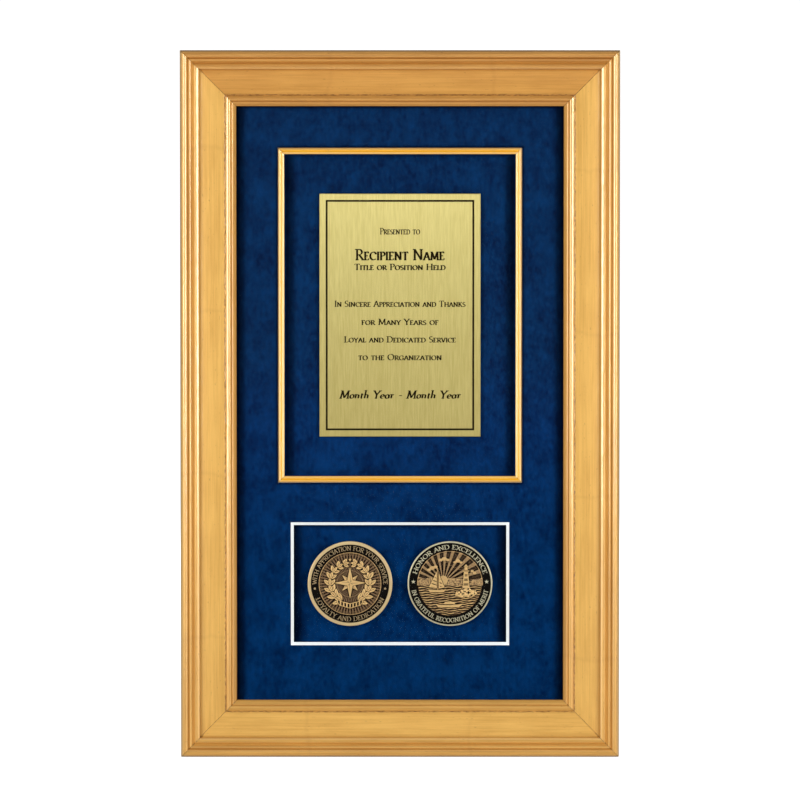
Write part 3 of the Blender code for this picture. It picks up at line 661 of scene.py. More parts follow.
def add_fillet():
    """Thin gilt sticks round the plaque window: two beads with a groove between, and a flange under the mat."""
    low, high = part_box("fillet_left")
    window_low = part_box("fillet_bottom")[0]
    flange = 4.0 * MM
    width = 2 * (-low.x - flange)
    bottom = window_low.z + flange
    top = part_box("fillet_top")[1].z - flange
    back = high.y
    depth = high.y - low.y
    mat_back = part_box("top_mat")[1].y
    under = back - mat_back - 0.3 * MM
    face_width = 3.3 * MM
    valley = depth - 0.35 * MM
    crest = depth - 0.06 * MM
    levels = (valley, crest, valley, crest, valley)
    bends = np.linspace(0.3 * MM, face_width, len(levels))
    slopes = [bulge(a, b, p, q, 0.05 * MM, 5)[1:] for a, b, p, q in zip(bends, bends[1:], levels, levels[1:])]
    face = np.concatenate([[[0.3 * MM, under], [bends[0], levels[0]]], *slopes, [[face_width, 0.0]]])
    face = evenly(face, 0.12 * MM)
    bare = np.array([[-flange, 0.0], [-flange, under]])
    # painted shadow along the fillet's outer edge: the 0.95 mm flank reach darkens its outer side and the first 0.65
    # mm of its face
    for seed, side in enumerate(SIDE_TURNS):
        mitred_side(
            f"gilt_fillet_{side}", side, face, bare, (width, top - bottom), (top + bottom) / 2, back,
            (FILLET_GOLD, WOOD), [f"fillet_{side}"], 0.9 * MM, 41 + 3 * seed, 0.02 * MM, 0.95 * MM, (0.0, 0.0), False,
        )


# --- Mats ---
def lines_between(low, high, step, *stops):
    """Grid lines from low to high about a step apart, with a line on every stop."""
    marks = sorted({low, high, *stops})
    lines = [marks[0]]
    for a, b in zip(marks, marks[1:]):
        pieces = max(1, int(round((b - a) / step)))
        lines += [a + (b - a) * (k + 1) / pieces for k in range(pieces)]
    return np.array(lines)


def inside_any(x, z, windows):
    hit = np.zeros(np.broadcast(x, z).shape, bool)
    for x0, x1, z0, z1 in windows:
        hit |= (x > x0) & (x < x1) & (z > z0) & (z < z1)
    return hit


FILLET_SHADOW_REACH = 1.7 * MM  # reach of the painted shadow line where a fillet meets the suede


def painted_recess_shade(x, z, shadowed_recesses):
    """Painted shadow inside each recess: 1 at its left and right walls, less under its top wall, fading over its
    reach.
    """
    shade = np.zeros_like(x)
    for (x0, x1, z0, z1), reach in shadowed_recesses:
        side = np.minimum(x - x0, x1 - x) / reach
        roof = (z1 - z) / (0.30 * reach)
        inside = inside_any(x, z, [(x0 - 1e-6, x1 + 1e-6, z0 - 1e-6, z1 + 1e-6)])
        deep = np.maximum(np.clip(1 - side, 0, 1) ** 1.6, 0.9 * np.clip(1 - roof, 0, 1) ** 1.4)
        shade = np.where(inside, np.maximum(shade, deep), shade)
    return shade


def suede_board(name, node, windows, bevels, shadowed_recesses, nap, step, materials, ripple_seed):
    """A covered board with windows; bevels[i] is how far window i narrows towards the back through the white core. Its
    shade value holds painted shadow.
    """
    low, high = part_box(node)
    beside = (-FILLET_SHADOW_REACH, 0.0, FILLET_SHADOW_REACH)
    xs = lines_between(low.x, high.x, step, *[v + d for w in windows for v in w[:2] for d in beside])
    zs = lines_between(low.z, high.z, step, *[v + d for w in windows for v in w[2:] for d in beside])
    grid_x, grid_z = np.meshgrid(xs, zs, indexing="ij")
    slow = cell_noise(grid_x / (9 * MM) + 20, grid_z / (9 * MM) + 20, ripple_seed)
    quick = cell_noise(grid_x / (1.4 * MM) + 200, grid_z / (1.4 * MM) + 200, ripple_seed + 1)
    front = low.y + nap * (0.55 * slow + 0.45 * quick)
    columns = len(zs)
    middle_x = (xs[:-1] + xs[1:])[:, None] / 2
    middle_z = (zs[:-1] + zs[1:])[None, :] / 2
    kept = ~inside_any(middle_x, middle_z, windows)
    back_x = grid_x.copy()
    back_z = grid_z.copy()
    for (x0, x1, z0, z1), bevel in zip(windows, bevels):
        on = (grid_x > x0 - 1e-7) & (grid_x < x1 + 1e-7) & (grid_z > z0 - 1e-7) & (grid_z < z1 + 1e-7)
        back_x = np.where(on & (np.abs(grid_x - x0) < 1e-7), x0 + bevel, back_x)
        back_x = np.where(on & (np.abs(grid_x - x1) < 1e-7), x1 - bevel, back_x)
        back_z = np.where(on & (np.abs(grid_z - z0) < 1e-7), z0 + bevel, back_z)
        back_z = np.where(on & (np.abs(grid_z - z1) < 1e-7), z1 - bevel, back_z)
    count = grid_x.size
    points = np.concatenate([
        np.stack([grid_x, front, grid_z], -1).reshape(-1, 3),
        np.stack([back_x, np.full_like(grid_x, high.y), back_z], -1).reshape(-1, 3),
    ])
    faces = []
    slots = []
    rows = len(xs) - 1
    solid = np.zeros((rows + 2, columns + 1), bool)
    solid[1:-1, 1:-1] = kept
    for i, j in np.argwhere(kept):
        a = i * columns + j
        b = a + columns
        faces += [(a, b, b + 1, a + 1), (a + count, a + 1 + count, b + 1 + count, b + count)]
        slots += [0, 1]
        for di, dj, p, q in ((-1, 0, a, a + 1), (1, 0, b + 1, b), (0, -1, b, a), (0, 1, a + 1, b + 1)):
            if not solid[i + 1 + di, j + 1 + dj]:
                faces.append((p, q, q + count, p + count))
                slots.append(1)
    used = np.unique(np.array([v for face in faces for v in face]))
    renumber = np.full(len(points), -1)
    renumber[used] = np.arange(len(used))
    shade = painted_recess_shade(grid_x, grid_z, shadowed_recesses)
    # painted shadow: a dark line round each window without a bevel, where a fillet meets the suede
    for (x0, x1, z0, z1), bevel in zip(windows, bevels):
        on_edge = inside_any(grid_x, grid_z, [(x0 - 1e-6, x1 + 1e-6, z0 - 1e-6, z1 + 1e-6)])
        shade = np.where(on_edge & (bevel == 0), 1.0, shade)
    shade = np.tile(shade.ravel(), 2)
    shell = Shell()
    shell.add(points[used], [tuple(renumber[v] for v in face) for face in faces], slots, shade=shade[used])
    return make_piece(name, shell, materials, FRAME, [node], angle=30)


def add_mats():
    low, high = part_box("fillet_left")
    flange = 4.0 * MM
    plaque_window = (
        low.x + flange,
        -low.x - flange,
        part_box("fillet_bottom")[0].z + flange,
        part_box("fillet_top")[1].z - flange,
    )
    coin_width = 114.3 * MM
    coin_height = 64.5 * MM
    coin_z = 89.55 * MM
    coin_window = (-coin_width / 2, coin_width / 2, coin_z - coin_height / 2, coin_z + coin_height / 2)
    bevel = extent("top_mat").y
    sight = FRAME_WIDTH / 2 - MOULDING_WIDTH
    opening = (-sight, sight, MOULDING_WIDTH, FRAME_HEIGHT - MOULDING_WIDTH)
    nap = 0.05 * MM
    step = 1.3 * MM
    # painted shadow of the moulding's lip along the mat's edges
    suede_board(
        "suede_mat", "top_mat", [plaque_window, coin_window], [0.0, bevel], [(opening, 7.0 * MM)], nap, step,
        (SUEDE, CORE), 3,
    )
    # painted shadows of the window walls on the backing
    face = 3.3 * MM
    x0, x1, z0, z1 = plaque_window
    shadowed_recesses = [((x0 + face, x1 - face, z0 + face, z1 - face), 8.0 * MM)]
    x0, x1, z0, z1 = coin_window
    shadowed_recesses.append(((x0 + bevel, x1 - bevel, z0 + bevel, z1 - bevel), 9.0 * MM))
    suede_board("suede_backing", "backing_mat", [], [], shadowed_recesses, nap, step, (DEEP_SUEDE, CORE), 8)


# --- Lettering drawn with a broad pen ---
def bow(cx, cy, rx, ry, start, end, steps=14):
    """Points of an elliptical arc, angles in degrees."""
    turns = [radians(start + (end - start) * k / steps) for k in range(steps + 1)]
    return [(cx + rx * cos(t), cy + ry * sin(t)) for t in turns]


STEM = [(14, 0), (14, 100)]
UPPER_BOWL = [(14, 100), (32, 100)] + bow(32, 75, 24, 25, 90, -90)[1:] + [(14, 50)]
ARCH = [(10, 32)] + bow(25, 33, 15, 15, 150, 0) + [(40, 0)]
# Each letter: advance, pen paths, and places of its serifs, on a cap height of 100
LETTERS = {
    " ": (34, [], []),
    "-": (44, [[(8, 36), (36, 36)]], []),
    "A": (74, [[(5, 0), (37, 100)], [(37, 100), (69, 0)], [(17, 34), (57, 34)]], [(5, 0), (69, 0)]),
    "B": (64, [STEM, UPPER_BOWL, [(30, 50)] + bow(33, 25, 25, 25, 90, -90) + [(14, 0)]], [(9, 0), (9, 100)]),
    "C": (76, [bow(44, 50, 38, 50, 48, 312, 22), [(69, 90), (71, 70)]], []),
    "D": (82, [STEM, [(14, 100), (34, 100)] + bow(36, 50, 38, 50, 90, -90, 20) + [(14, 0)]], [(9, 0), (9, 100)]),
    "E": (60, [STEM, [(14, 100), (50, 100), (51, 84)], [(14, 52), (44, 52)], [(14, 0), (53, 0), (56, 18)]],
          [(9, 0), (9, 100)]),
    "F": (56, [STEM, [(14, 100), (50, 100), (51, 84)], [(14, 52), (43, 52)]], [(14, 0), (9, 100)]),
    "G": (82, [bow(44, 50, 38, 50, 50, 322, 22), [(72, 46), (72, 12)], [(69, 90), (71, 72)]], [(70, 46)]),
    "H": (86, [STEM, [(72, 0), (72, 100)], [(14, 51), (72, 51)]], [(14, 0), (14, 100), (72, 0), (72, 100)]),
    "I": (30, [[(15, 0), (15, 100)]], [(15, 0), (15, 100)]),
    "J": (34, [[(18, 100), (18, 8)] + bow(4, 6, 14, 22, 0, -70, 6)], [(18, 100)]),
    "K": (74, [STEM, [(14, 46), (58, 100)], [(27, 58), (69, 0)]], [(14, 0), (14, 100), (58, 100), (69, 0)]),
    "L": (56, [STEM, [(14, 0), (50, 0), (53, 20)]], [(14, 100), (9, 0)]),
    "M": (98, [[(12, 0), (18, 100)], [(18, 100), (49, 6)], [(49, 6), (80, 100)], [(80, 100), (86, 0)]],
          [(12, 0), (86, 0), (14, 100), (84, 100)]),
    "N": (86, [STEM, [(14, 100), (71, 0)], [(71, 0), (71, 100)]], [(14, 0), (10, 100), (71, 100)]),
    "O": (88, [bow(44, 50, 37, 50, 0, 360, 30)], []),
    "P": (60, [STEM, UPPER_BOWL], [(14, 0), (9, 100)]),
    "Q": (88, [bow(44, 50, 37, 50, 0, 360, 30), [(48, 6), (84, -20)]], []),
    "R": (70, [STEM, UPPER_BOWL, [(32, 50), (66, 0)]], [(14, 0), (9, 100), (66, 0)]),
    "S": (54, [bow(28, 75, 19, 25, 38, 270) + bow(26, 25, 22, 25, 90, -142)[1:]], []),
    "T": (68, [[(34, 0), (34, 100)], [(4, 84), (5, 100), (63, 100), (64, 84)]], [(34, 0)]),
    "U": (84, [[(14, 100), (14, 34)] + bow(42, 34, 28, 34, 180, 360) + [(70, 100)]], [(14, 100), (70, 100)]),
    "V": (72, [[(5, 100), (36, 0)], [(36, 0), (67, 100)]], [(5, 100), (67, 100)]),
    "W": (106, [[(5, 100), (31, 0)], [(31, 0), (53, 92)], [(53, 92), (77, 0)], [(77, 0), (101, 100)]],
          [(5, 100), (101, 100)]),
    "X": (74, [[(8, 100), (66, 0)], [(66, 100), (8, 0)]], [(8, 100), (66, 100), (8, 0), (66, 0)]),
    "Y": (70, [[(5, 100), (35, 48)], [(65, 100), (35, 48)], [(35, 48), (35, 0)]], [(5, 100), (65, 100), (35, 0)]),
    "Z": (64, [[(8, 84), (9, 100), (56, 100)], [(56, 100), (8, 0)], [(8, 0), (55, 0), (57, 18)]], []),
    "a": (52, [bow(22, 24, 18, 25, 0, 360, 20), [(40, 50), (40, 0), (46, 2)]], []),
    "e": (46, [[(6, 27), (40, 27)] + bow(23, 25, 18, 25, 5, 310, 18)], []),
    "h": (52, [[(10, 0), (10, 104)], ARCH], [(8, 104)]),
    "n": (52, [[(10, 0), (10, 50)], ARCH], [(8, 50)]),
    "o": (48, [bow(24, 25, 19, 25, 0, 360, 20)], []),
    "r": (38, [[(10, 0), (10, 50)], [(10, 34)] + bow(24, 34, 13, 14, 165, 50, 6)], [(8, 50)]),
    "t": (34, [[(14, 66), (14, 12)] + bow(23, 12, 9, 12, 180, 290, 6), [(4, 49), (30, 49)]], []),
}
PEN_ANGLE = radians(18)


def pen_ribbon(path, thick, thin):
    """Left and right sides of a stroke whose width follows the pen's angle."""
    path = np.asarray(path, float)
    steps = np.gradient(path, axis=0)
    heading = np.arctan2(steps[:, 1], steps[:, 0])
    half = (thin + (thick - thin) * np.abs(np.sin(heading - PEN_ANGLE))) / 2
    across = np.stack([-np.sin(heading), np.cos(heading)], -1) * half[:, None]
    return path + across, path - across


def pen_strokes(text, weight, small_caps=0.75, real_lower=False):
    """Ribbons of a line of text from x = 0, its caps 100 high, and the line's length."""
    thick = 15 * weight
    thin = 5.0 * weight
    ribbons = []
    at = 0.0
    for character in text:
        small = character.islower() and not real_lower
        advance, paths, serifs = LETTERS[character.upper() if small else character]
        size = small_caps if small else 1.0
        for path in paths:
            ribbons.append([np.asarray(side) * size + (at, 0) for side in pen_ribbon(path, thick / size, thin / size)])
        for x, y in serifs:
            bar = [(x - 14, y), (x + 14, y)]
            ribbons.append([np.asarray(side) * size + (at, 0) for side in pen_ribbon(bar, thick / size, thin / size)])
        at += advance * size + 5
    return ribbons, at - 5


def solid_ribbon(shell, left, right, lay, top, bottom, slot=0, **values):
    """A ribbon as a closed strip; lay turns (x, z) and a height into a point."""
    rings = []
    for a, b in zip(left, right):
        rings.append([lay(a, bottom), lay(a, top), lay(b, top), lay(b, bottom)])
    loft(shell, rings, slot, **values)


# --- Plaque ---
# Each line: text, share of the plaque's height from its top to the baseline, cap height, width, weight, slant, lowercase
PLAQUE_LINES = (
    ("Presented to", 0.1668, 3.15, 20.9, 1.15, 0.0, False),
    ("Recipient Name", 0.2722, 5.40, 46.5, 1.25, 0.0, False),
    ("Title or Position Held", 0.3133, 3.05, 47.6, 1.3, 0.0, False),
    ("In Sincere Appreciation and Thanks", 0.4646, 3.0, 68.4, 1.15, 0.0, False),
    ("for Many Years of", 0.5392, 3.0, 40.2, 1.15, 0.0, False),
    ("Loyal and Dedicated Service", 0.6113, 3.0, 58.4, 1.15, 0.0, False),
    ("to the Organization", 0.6842, 3.0, 43.6, 1.15, 0.0, False),
    ("Month Year - Month Year", 0.8421, 3.9, 63.4, 1.25, 0.22, True),
)
BORDER_INSET = 3.3 * MM
BORDER_WIDTH = 1.0 * MM


def add_plaque():
    """A thin plate with softened edges, a filled border line cut into it and filled lettering."""
    low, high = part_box("plaque")
    edge = 0.28 * MM
    groove = 0.06 * MM
    insets = (
        (0.0, high.y - edge, 0), (0.0, low.y + edge, 0), (edge * 0.35, low.y + edge * 0.35, 0), (edge, low.y, 0),
        (BORDER_INSET, low.y, 0), (BORDER_INSET, low.y + groove, 1),
        (BORDER_INSET + BORDER_WIDTH, low.y + groove, 1), (BORDER_INSET + BORDER_WIDTH, low.y, 0),
    )
    rings = []
    slots = []
    for inset, y, slot in ((edge, high.y, 0),) + insets:
        corners = ((low.x + inset, low.z + inset), (high.x - inset, low.z + inset),
                   (high.x - inset, high.z - inset), (low.x + inset, high.z - inset))
        rings.append([(x, y, z) for x, z in corners])
        slots.append(slot)
    faces = grid_faces(len(rings), 4, wrap_columns=True)
    face_slots = []
    for i in range(len(rings) - 1):
        filled = slots[i] == 1 or slots[i + 1] == 1
        face_slots += [1 if filled else 0] * 4
    faces += [tuple(range(4)), tuple(range(4 * len(rings) - 4, 4 * len(rings)))]
    shell = Shell()
    shell.add(rings, faces, face_slots + [0, 0])
    make_piece("brass_plaque", shell, (BRASS, INK), FRAME, ["plaque"], angle=25)

    raised = low.y - 0.03 * MM
    sunk = low.y + 0.02 * MM
    height = high.z - low.z
    for number, (text, drop, cap, width, weight, slant, lower) in enumerate(PLAQUE_LINES, 1):
        ribbons, length = pen_strokes(text, weight, real_lower=lower)
        across = width * MM / length
        up = cap * MM / 100
        base = high.z - drop * height

        def lay(point, y):
            return ((point[0] - length / 2) * across + point[1] * up * slant, y, base + point[1] * up)

        line = Shell()
        for left, right in ribbons:
            solid_ribbon(line, left, right, lay, raised, sunk)
        make_piece(f"plaque_line_{number}", line, (INK,), FRAME, angle=25)


# --- Medallions ---
class Relief:
    """A square height map in millimetres, x to the right and z up, built from raised and cut shapes."""

    def __init__(self, half_width, cell):
        self.half_width = half_width
        self.cell = cell
        line = np.arange(-half_width, half_width + cell / 2, cell)
        self.x, self.z = np.meshgrid(line, line, indexing="ij")
        self.height = np.zeros_like(self.x)
        self.radius = np.hypot(self.x, self.z)
        self.angle = np.arctan2(self.z, self.x)

    def softened(self, reach):
        """The height map blurred over a reach."""
        steps = np.arange(-int(3 * reach / self.cell), int(3 * reach / self.cell) + 1)
        weights = np.exp(-((steps * self.cell / reach) ** 2) / 2)
        weights /= weights.sum()
        soft = self.height
        for axis in (0, 1):
            soft = sum(w * np.roll(soft, int(k), axis) for k, w in zip(steps, weights))
        return soft

    def sample(self, field, x, z):
        """A field of the map at any points, blended between its cells."""
        last = field.shape[0] - 2
        u = np.clip((x + self.half_width) / self.cell, 0, last + 0.999)
        v = np.clip((z + self.half_width) / self.cell, 0, last + 0.999)
        i, j = u.astype(int), v.astype(int)
        a, b = u - i, v - j
        low = field[i, j] * (1 - a) + field[i + 1, j] * a
        high = field[i, j + 1] * (1 - a) + field[i + 1, j + 1] * a
        return low * (1 - b) + high * b

    def segment(self, a, b):
        dx, dz = b[0] - a[0], b[1] - a[1]
        t = np.clip(((self.x - a[0]) * dx + (self.z - a[1]) * dz) / (dx * dx + dz * dz), 0, 1)
        return np.hypot(self.x - a[0] - t * dx, self.z - a[1] - t * dz)

    def polygon(self, points):
        """Distance to a polygon's outline, negative inside."""
        distance = np.full_like(self.x, 1e9)
        inside = np.zeros(self.x.shape, bool)
        for (ax, az), (bx, bz) in zip(points, points[1:] + points[:1]):
            distance = np.minimum(distance, self.segment((ax, az), (bx, bz)))
            if az != bz:
                crossing = ((az > self.z) != (bz > self.z)) & (
                    self.x < (bx - ax) * (self.z - az) / (bz - az) + ax
                )
                inside ^= crossing
        return np.where(inside, -distance, distance)

    def leaf(self, root, heading, length, width):
        """Distance inside a pointed leaf, as a share of its half width, and its position along the leaf."""
        dx, dz = cos(heading), sin(heading)
        along = ((self.x - root[0]) * dx + (self.z - root[1]) * dz) / length
        across = (self.x - root[0]) * -dz + (self.z - root[1]) * dx
        reach = np.sin(pi * np.clip(along, 0, 1)) ** 0.75 * width / 2
        return reach - np.abs(across), np.abs(across)

    def raise_to(self, distance, height, slope=0.18):
        """Lift what is inside a shape (negative distance) to a height above the ground, over a sloping edge."""
        self.height = np.maximum(self.height, np.clip(-distance / slope, 0, 1) * height)

    def add(self, distance, height, slope=0.12):
        self.height = self.height + np.clip(-distance / slope, 0, 1) * height


def star_points(cx, cz, outer, inner, tips=5, turn=pi / 2):
    points = []
    for k in range(2 * tips):
        r = inner if k % 2 else outer
        a = turn + pi * k / tips
        points.append((cx + r * cos(a), cz + r * sin(a)))
    return points


def laurel_design(relief):
    """A faceted compass star inside two full laurel sprays over a ribbon, on a ground of fine rays."""
    r, a = relief.radius, relief.angle
    rays = 0.5 + 0.5 * np.cos(a * 60)
    relief.height = 0.03 + 0.15 * rays * np.clip((r - 2) / 3, 0, 1)
    for ring, width in ((16.2, 0.24), (14.9, 0.14)):
        relief.raise_to(np.abs(r - ring) - width, 0.34, 0.1)
    relief.raise_to(np.abs(r - 15.55) - 0.2, 0.20 + 0.10 * np.sin(a * 84), 0.1)
    spray = 10.4
    for side in (-1, 1):
        for k in range(8):
            t = radians(-66 + 19.5 * k)
            root = (side * spray * cos(t), spray * sin(t) + 0.4)
            for swing, size in ((-0.70, 1.0), (0.78, 0.92), (0.04, 0.9)):
                heading = t + pi / 2 + swing
                heading = heading if side > 0 else pi - heading
                long = 5.4 * size * (1.0 - 0.05 * k)
                inside, across = relief.leaf(root, heading, long, 2.5 * size * (1.0 - 0.03 * k))
                rib = 0.13 * np.exp(-((across / 0.12) ** 2))
                relief.height = np.where(
                    inside > 0.0, np.clip(inside / 0.2, 0.15, 1) * (0.42 - rib), relief.height
                )
            following = radians(-66 + 19.5 * (k + 1))
            tip = (side * spray * cos(following), spray * sin(following) + 0.4)
            relief.raise_to(relief.segment(root, tip) - 0.2, 0.36, 0.12)
    relief.raise_to(np.abs(r - 6.9) - 0.16, 0.30, 0.1)
    for outer, spread, turn, lift in ((6.2, 2.2, pi / 4, 0.34), (8.9, 2.2, pi / 2, 0.44)):
        distance = relief.polygon(star_points(0, 0.4, outer, spread, 4, turn))
        facet = np.sign(np.sin(4 * (np.arctan2(relief.z - 0.4, relief.x) - turn)))
        body = lift + 0.03 * facet
        inside = np.clip(-distance / 0.15, 0.1, 1) * body
        relief.height = np.where(distance < 0, inside, relief.height)
    ribbon = relief.polygon([(-7.4, -9.2), (-5.6, -11.6), (0, -13.2), (5.6, -11.6), (7.4, -9.2),
                             (6.0, -8.0), (3.8, -9.3), (0, -10.2), (-3.8, -9.3), (-6.0, -8.0)])
    cuts = np.abs(np.sin(relief.x * 1.9)) > 0.62
    inner = np.where((ribbon < -0.5) & cuts, 0.20, 0.46)
    relief.height = np.where(ribbon < 0, np.clip(-ribbon / 0.15, 0.1, 1) * inner, relief.height)
    for x in (-3.3, 0.0, 3.3):
        relief.raise_to(relief.polygon(star_points(x, 12.6 - abs(x) * 0.30, 1.2, 0.5)), 0.44, 0.12)


# Clouds of the harbour scene: centre and size of each puff
CLOUDS = (
    (-11.0, 7.2, 1.5), (-9.4, 8.2, 1.9), (-7.6, 8.8, 1.6), (-4.8, 12.4, 1.5), (-3.0, 13.0, 1.9), (-1.2, 12.4, 1.4),
    (2.6, 11.2, 1.3), (4.2, 11.9, 1.7), (5.8, 11.1, 1.3), (11.6, 6.6, 1.3), (12.9, 5.6, 1.5),
)


def harbour_design(relief):
    """Sun rays and clouds over hills, a sailing boat on waves and a lighthouse on rocks."""
    x, z, r = relief.x, relief.z, relief.radius
    relief.height = 0.03 + 0.05 * cell_noise(x / 0.5 + 90, z / 0.5 + 90, 5)
    sun = np.arctan2(z - 0.5, x + 3.5)
    rays = np.clip(np.sin(sun * 26) * 3, 0, 1) * np.clip((z - 1.0) / 2, 0, 1)
    relief.height += 0.20 * rays
    relief.raise_to(np.abs(r - 16.9) - 0.2, 0.32, 0.1)
    relief.raise_to(np.hypot(x + 3.5, z - 1.8) - 2.6, 0.34, 0.3)
    for cx, cz, size in CLOUDS:
        relief.raise_to(np.hypot((x - cx) / 1.35, z - cz) - size * 0.62, 0.34, 0.25)
    hills = 1.2 + 2.4 * cell_noise(x / 3.4 + 40, z * 0, 12) + 0.8 * cell_noise(x / 1.1 + 70, z * 0, 13)
    below = z - hills
    texture = 0.10 * cell_noise(x / 0.45 + 50, z / 0.7 + 50, 21)
    relief.height = np.where(below < 0, np.maximum(relief.height, np.clip(-below / 0.3, 0, 1) * (0.22 + texture)), relief.height)
    sea = z + 0.9
    swell = 0.5 + 0.5 * np.sin(z * 5.2 + 1.4 * np.sin(x * 0.9 + z * 0.7) + 0.4 * x)
    crest = cell_noise(x / 1.3 + 10, z / 0.7 + 10, 31)
    waves = 0.06 + 0.46 * swell**1.3 * (0.35 + 0.65 * crest)
    relief.height = np.where(sea < 0, waves * (r < 16.7), relief.height)
    hull = relief.polygon([(-11.6, -2.9), (-10.6, -4.7), (-3.4, -4.7), (-1.6, -2.7), (-4.0, -3.1), (-9.0, -3.2)])
    relief.raise_to(hull, 0.52, 0.2)
    seams = 0.10 * np.clip(np.sin((z + 0.35 * x) * 3.4) * 2 - 0.6, 0, 1)
    for sail, lift in (([(-6.7, -2.7), (-6.7, 7.2), (-11.3, -1.9)], 0.44), ([(-6.1, -2.6), (-6.1, 6.4), (-2.6, -2.2)], 0.52)):
        distance = relief.polygon(sail)
        relief.height = np.where(distance < 0, np.clip(-distance / 0.2, 0, 1) * (lift - seams), relief.height)
    relief.raise_to(relief.segment((-6.4, -3.2), (-6.4, 8.0)) - 0.16, 0.56, 0.08)
    rocks = relief.polygon([(2.2, -6.2), (3.6, -3.4), (5.2, -3.6), (6.2, -2.2), (10.2, -2.0), (11.6, -3.2), (13.6, -3.0),
                            (14.6, -5.4), (11.0, -7.6), (5.4, -7.4)])
    facets = 0.30 * cell_noise(x / 0.8 + 15, z / 0.6 + 15, 44)
    relief.height = np.where(rocks < 0, np.clip(-rocks / 0.3, 0, 1) * (0.20 + facets), relief.height)
    tower = relief.polygon([(6.4, -2.4), (7.2, 6.4), (9.6, 6.4), (10.4, -2.4)])
    relief.raise_to(tower, 0.50, 0.18)
    for level in (-0.4, 2.1, 4.4):
        relief.height = np.where((tower < -0.2) & (np.abs(z - level) < 0.55), 0.36, relief.height)
    relief.raise_to(relief.polygon([(6.6, 6.3), (6.6, 7.0), (10.2, 7.0), (10.2, 6.3)]), 0.56, 0.12)
    relief.raise_to(relief.polygon([(7.5, 7.0), (7.5, 8.9), (9.3, 8.9), (9.3, 7.0)]), 0.42, 0.12)
    relief.raise_to(relief.polygon([(7.0, 8.8), (8.4, 10.4), (9.8, 8.8)]), 0.54, 0.15)
    for heading in (2.9, 3.3, -0.15, 0.2):
        end = (8.4 + 4.6 * cos(heading), 8.0 + 4.6 * sin(heading))
        relief.raise_to(relief.segment((8.4, 8.0), end) - 0.16, 0.22, 0.1)
    hull_line = relief.polygon([(-7.6, -10.8), (-6.2, -12.6), (4.6, -12.6), (7.6, -10.4), (0.0, -11.2)])
    relief.raise_to(hull_line, 0.48, 0.25)
    relief.raise_to(relief.polygon([(-3.2, -11.0), (-2.8, -9.4), (2.2, -9.4), (3.0, -11.0)]), 0.42, 0.2)
    for bird_x, bird_z in ((0.2, 9.4), (2.4, 8.2), (-1.6, 11.0)):
        for wing in (-1, 1):
            relief.raise_to(relief.segment((bird_x, bird_z), (bird_x + wing * 0.9, bird_z + 0.45)) - 0.13, 0.34, 0.1)


# Each medallion: rim width, band's inner radius, cap height, letters' middle radius, and the words above and below
COIN_FACES = {
    "left": dict(design=laurel_design, rim=1.75, band=16.6, cap=2.2, row=18.6, weight=0.82, letter_lift=0.66,
                 above="WITH APPRECIATION FOR YOUR SERVICE", below="LOYALTY AND DEDICATION", mark="dot",
                 rim_pale=0.35, letter_pale=0.4),
    "right": dict(design=harbour_design, rim=0.85, band=17.3, cap=2.15, row=19.25, weight=0.92, letter_lift=0.9,
                  above="HONOR AND EXCELLENCE", below="IN GRATEFUL RECOGNITION OF MERIT", mark="star",
                  rim_pale=1.0, letter_pale=1.0),
}
ABOVE_SPAN = {"left": 182, "right": 148}
BELOW_SPAN = {"left": 132, "right": 160}


def coin_relief_height(radius, side, design_height):
    """Height of a medallion's face over the coin's field at each radius, with rim and sunk letter band."""
    face = COIN_FACES[side]
    coin_radius = 22.225
    rim_start = coin_radius - face["rim"]
    band = face["band"]
    height = np.where(radius < band, design_height, 0.0)
    step_up = np.clip((radius - rim_start) / 0.12, 0, 1)
    height = np.where(radius >= band, 0.52 * step_up, height)
    rounding = np.clip((radius - coin_radius + 0.35) / 0.35, 0, 1)
    height = height - 0.30 * (1 - np.sqrt(np.clip(1 - rounding**2, 0, 1)))
    return height


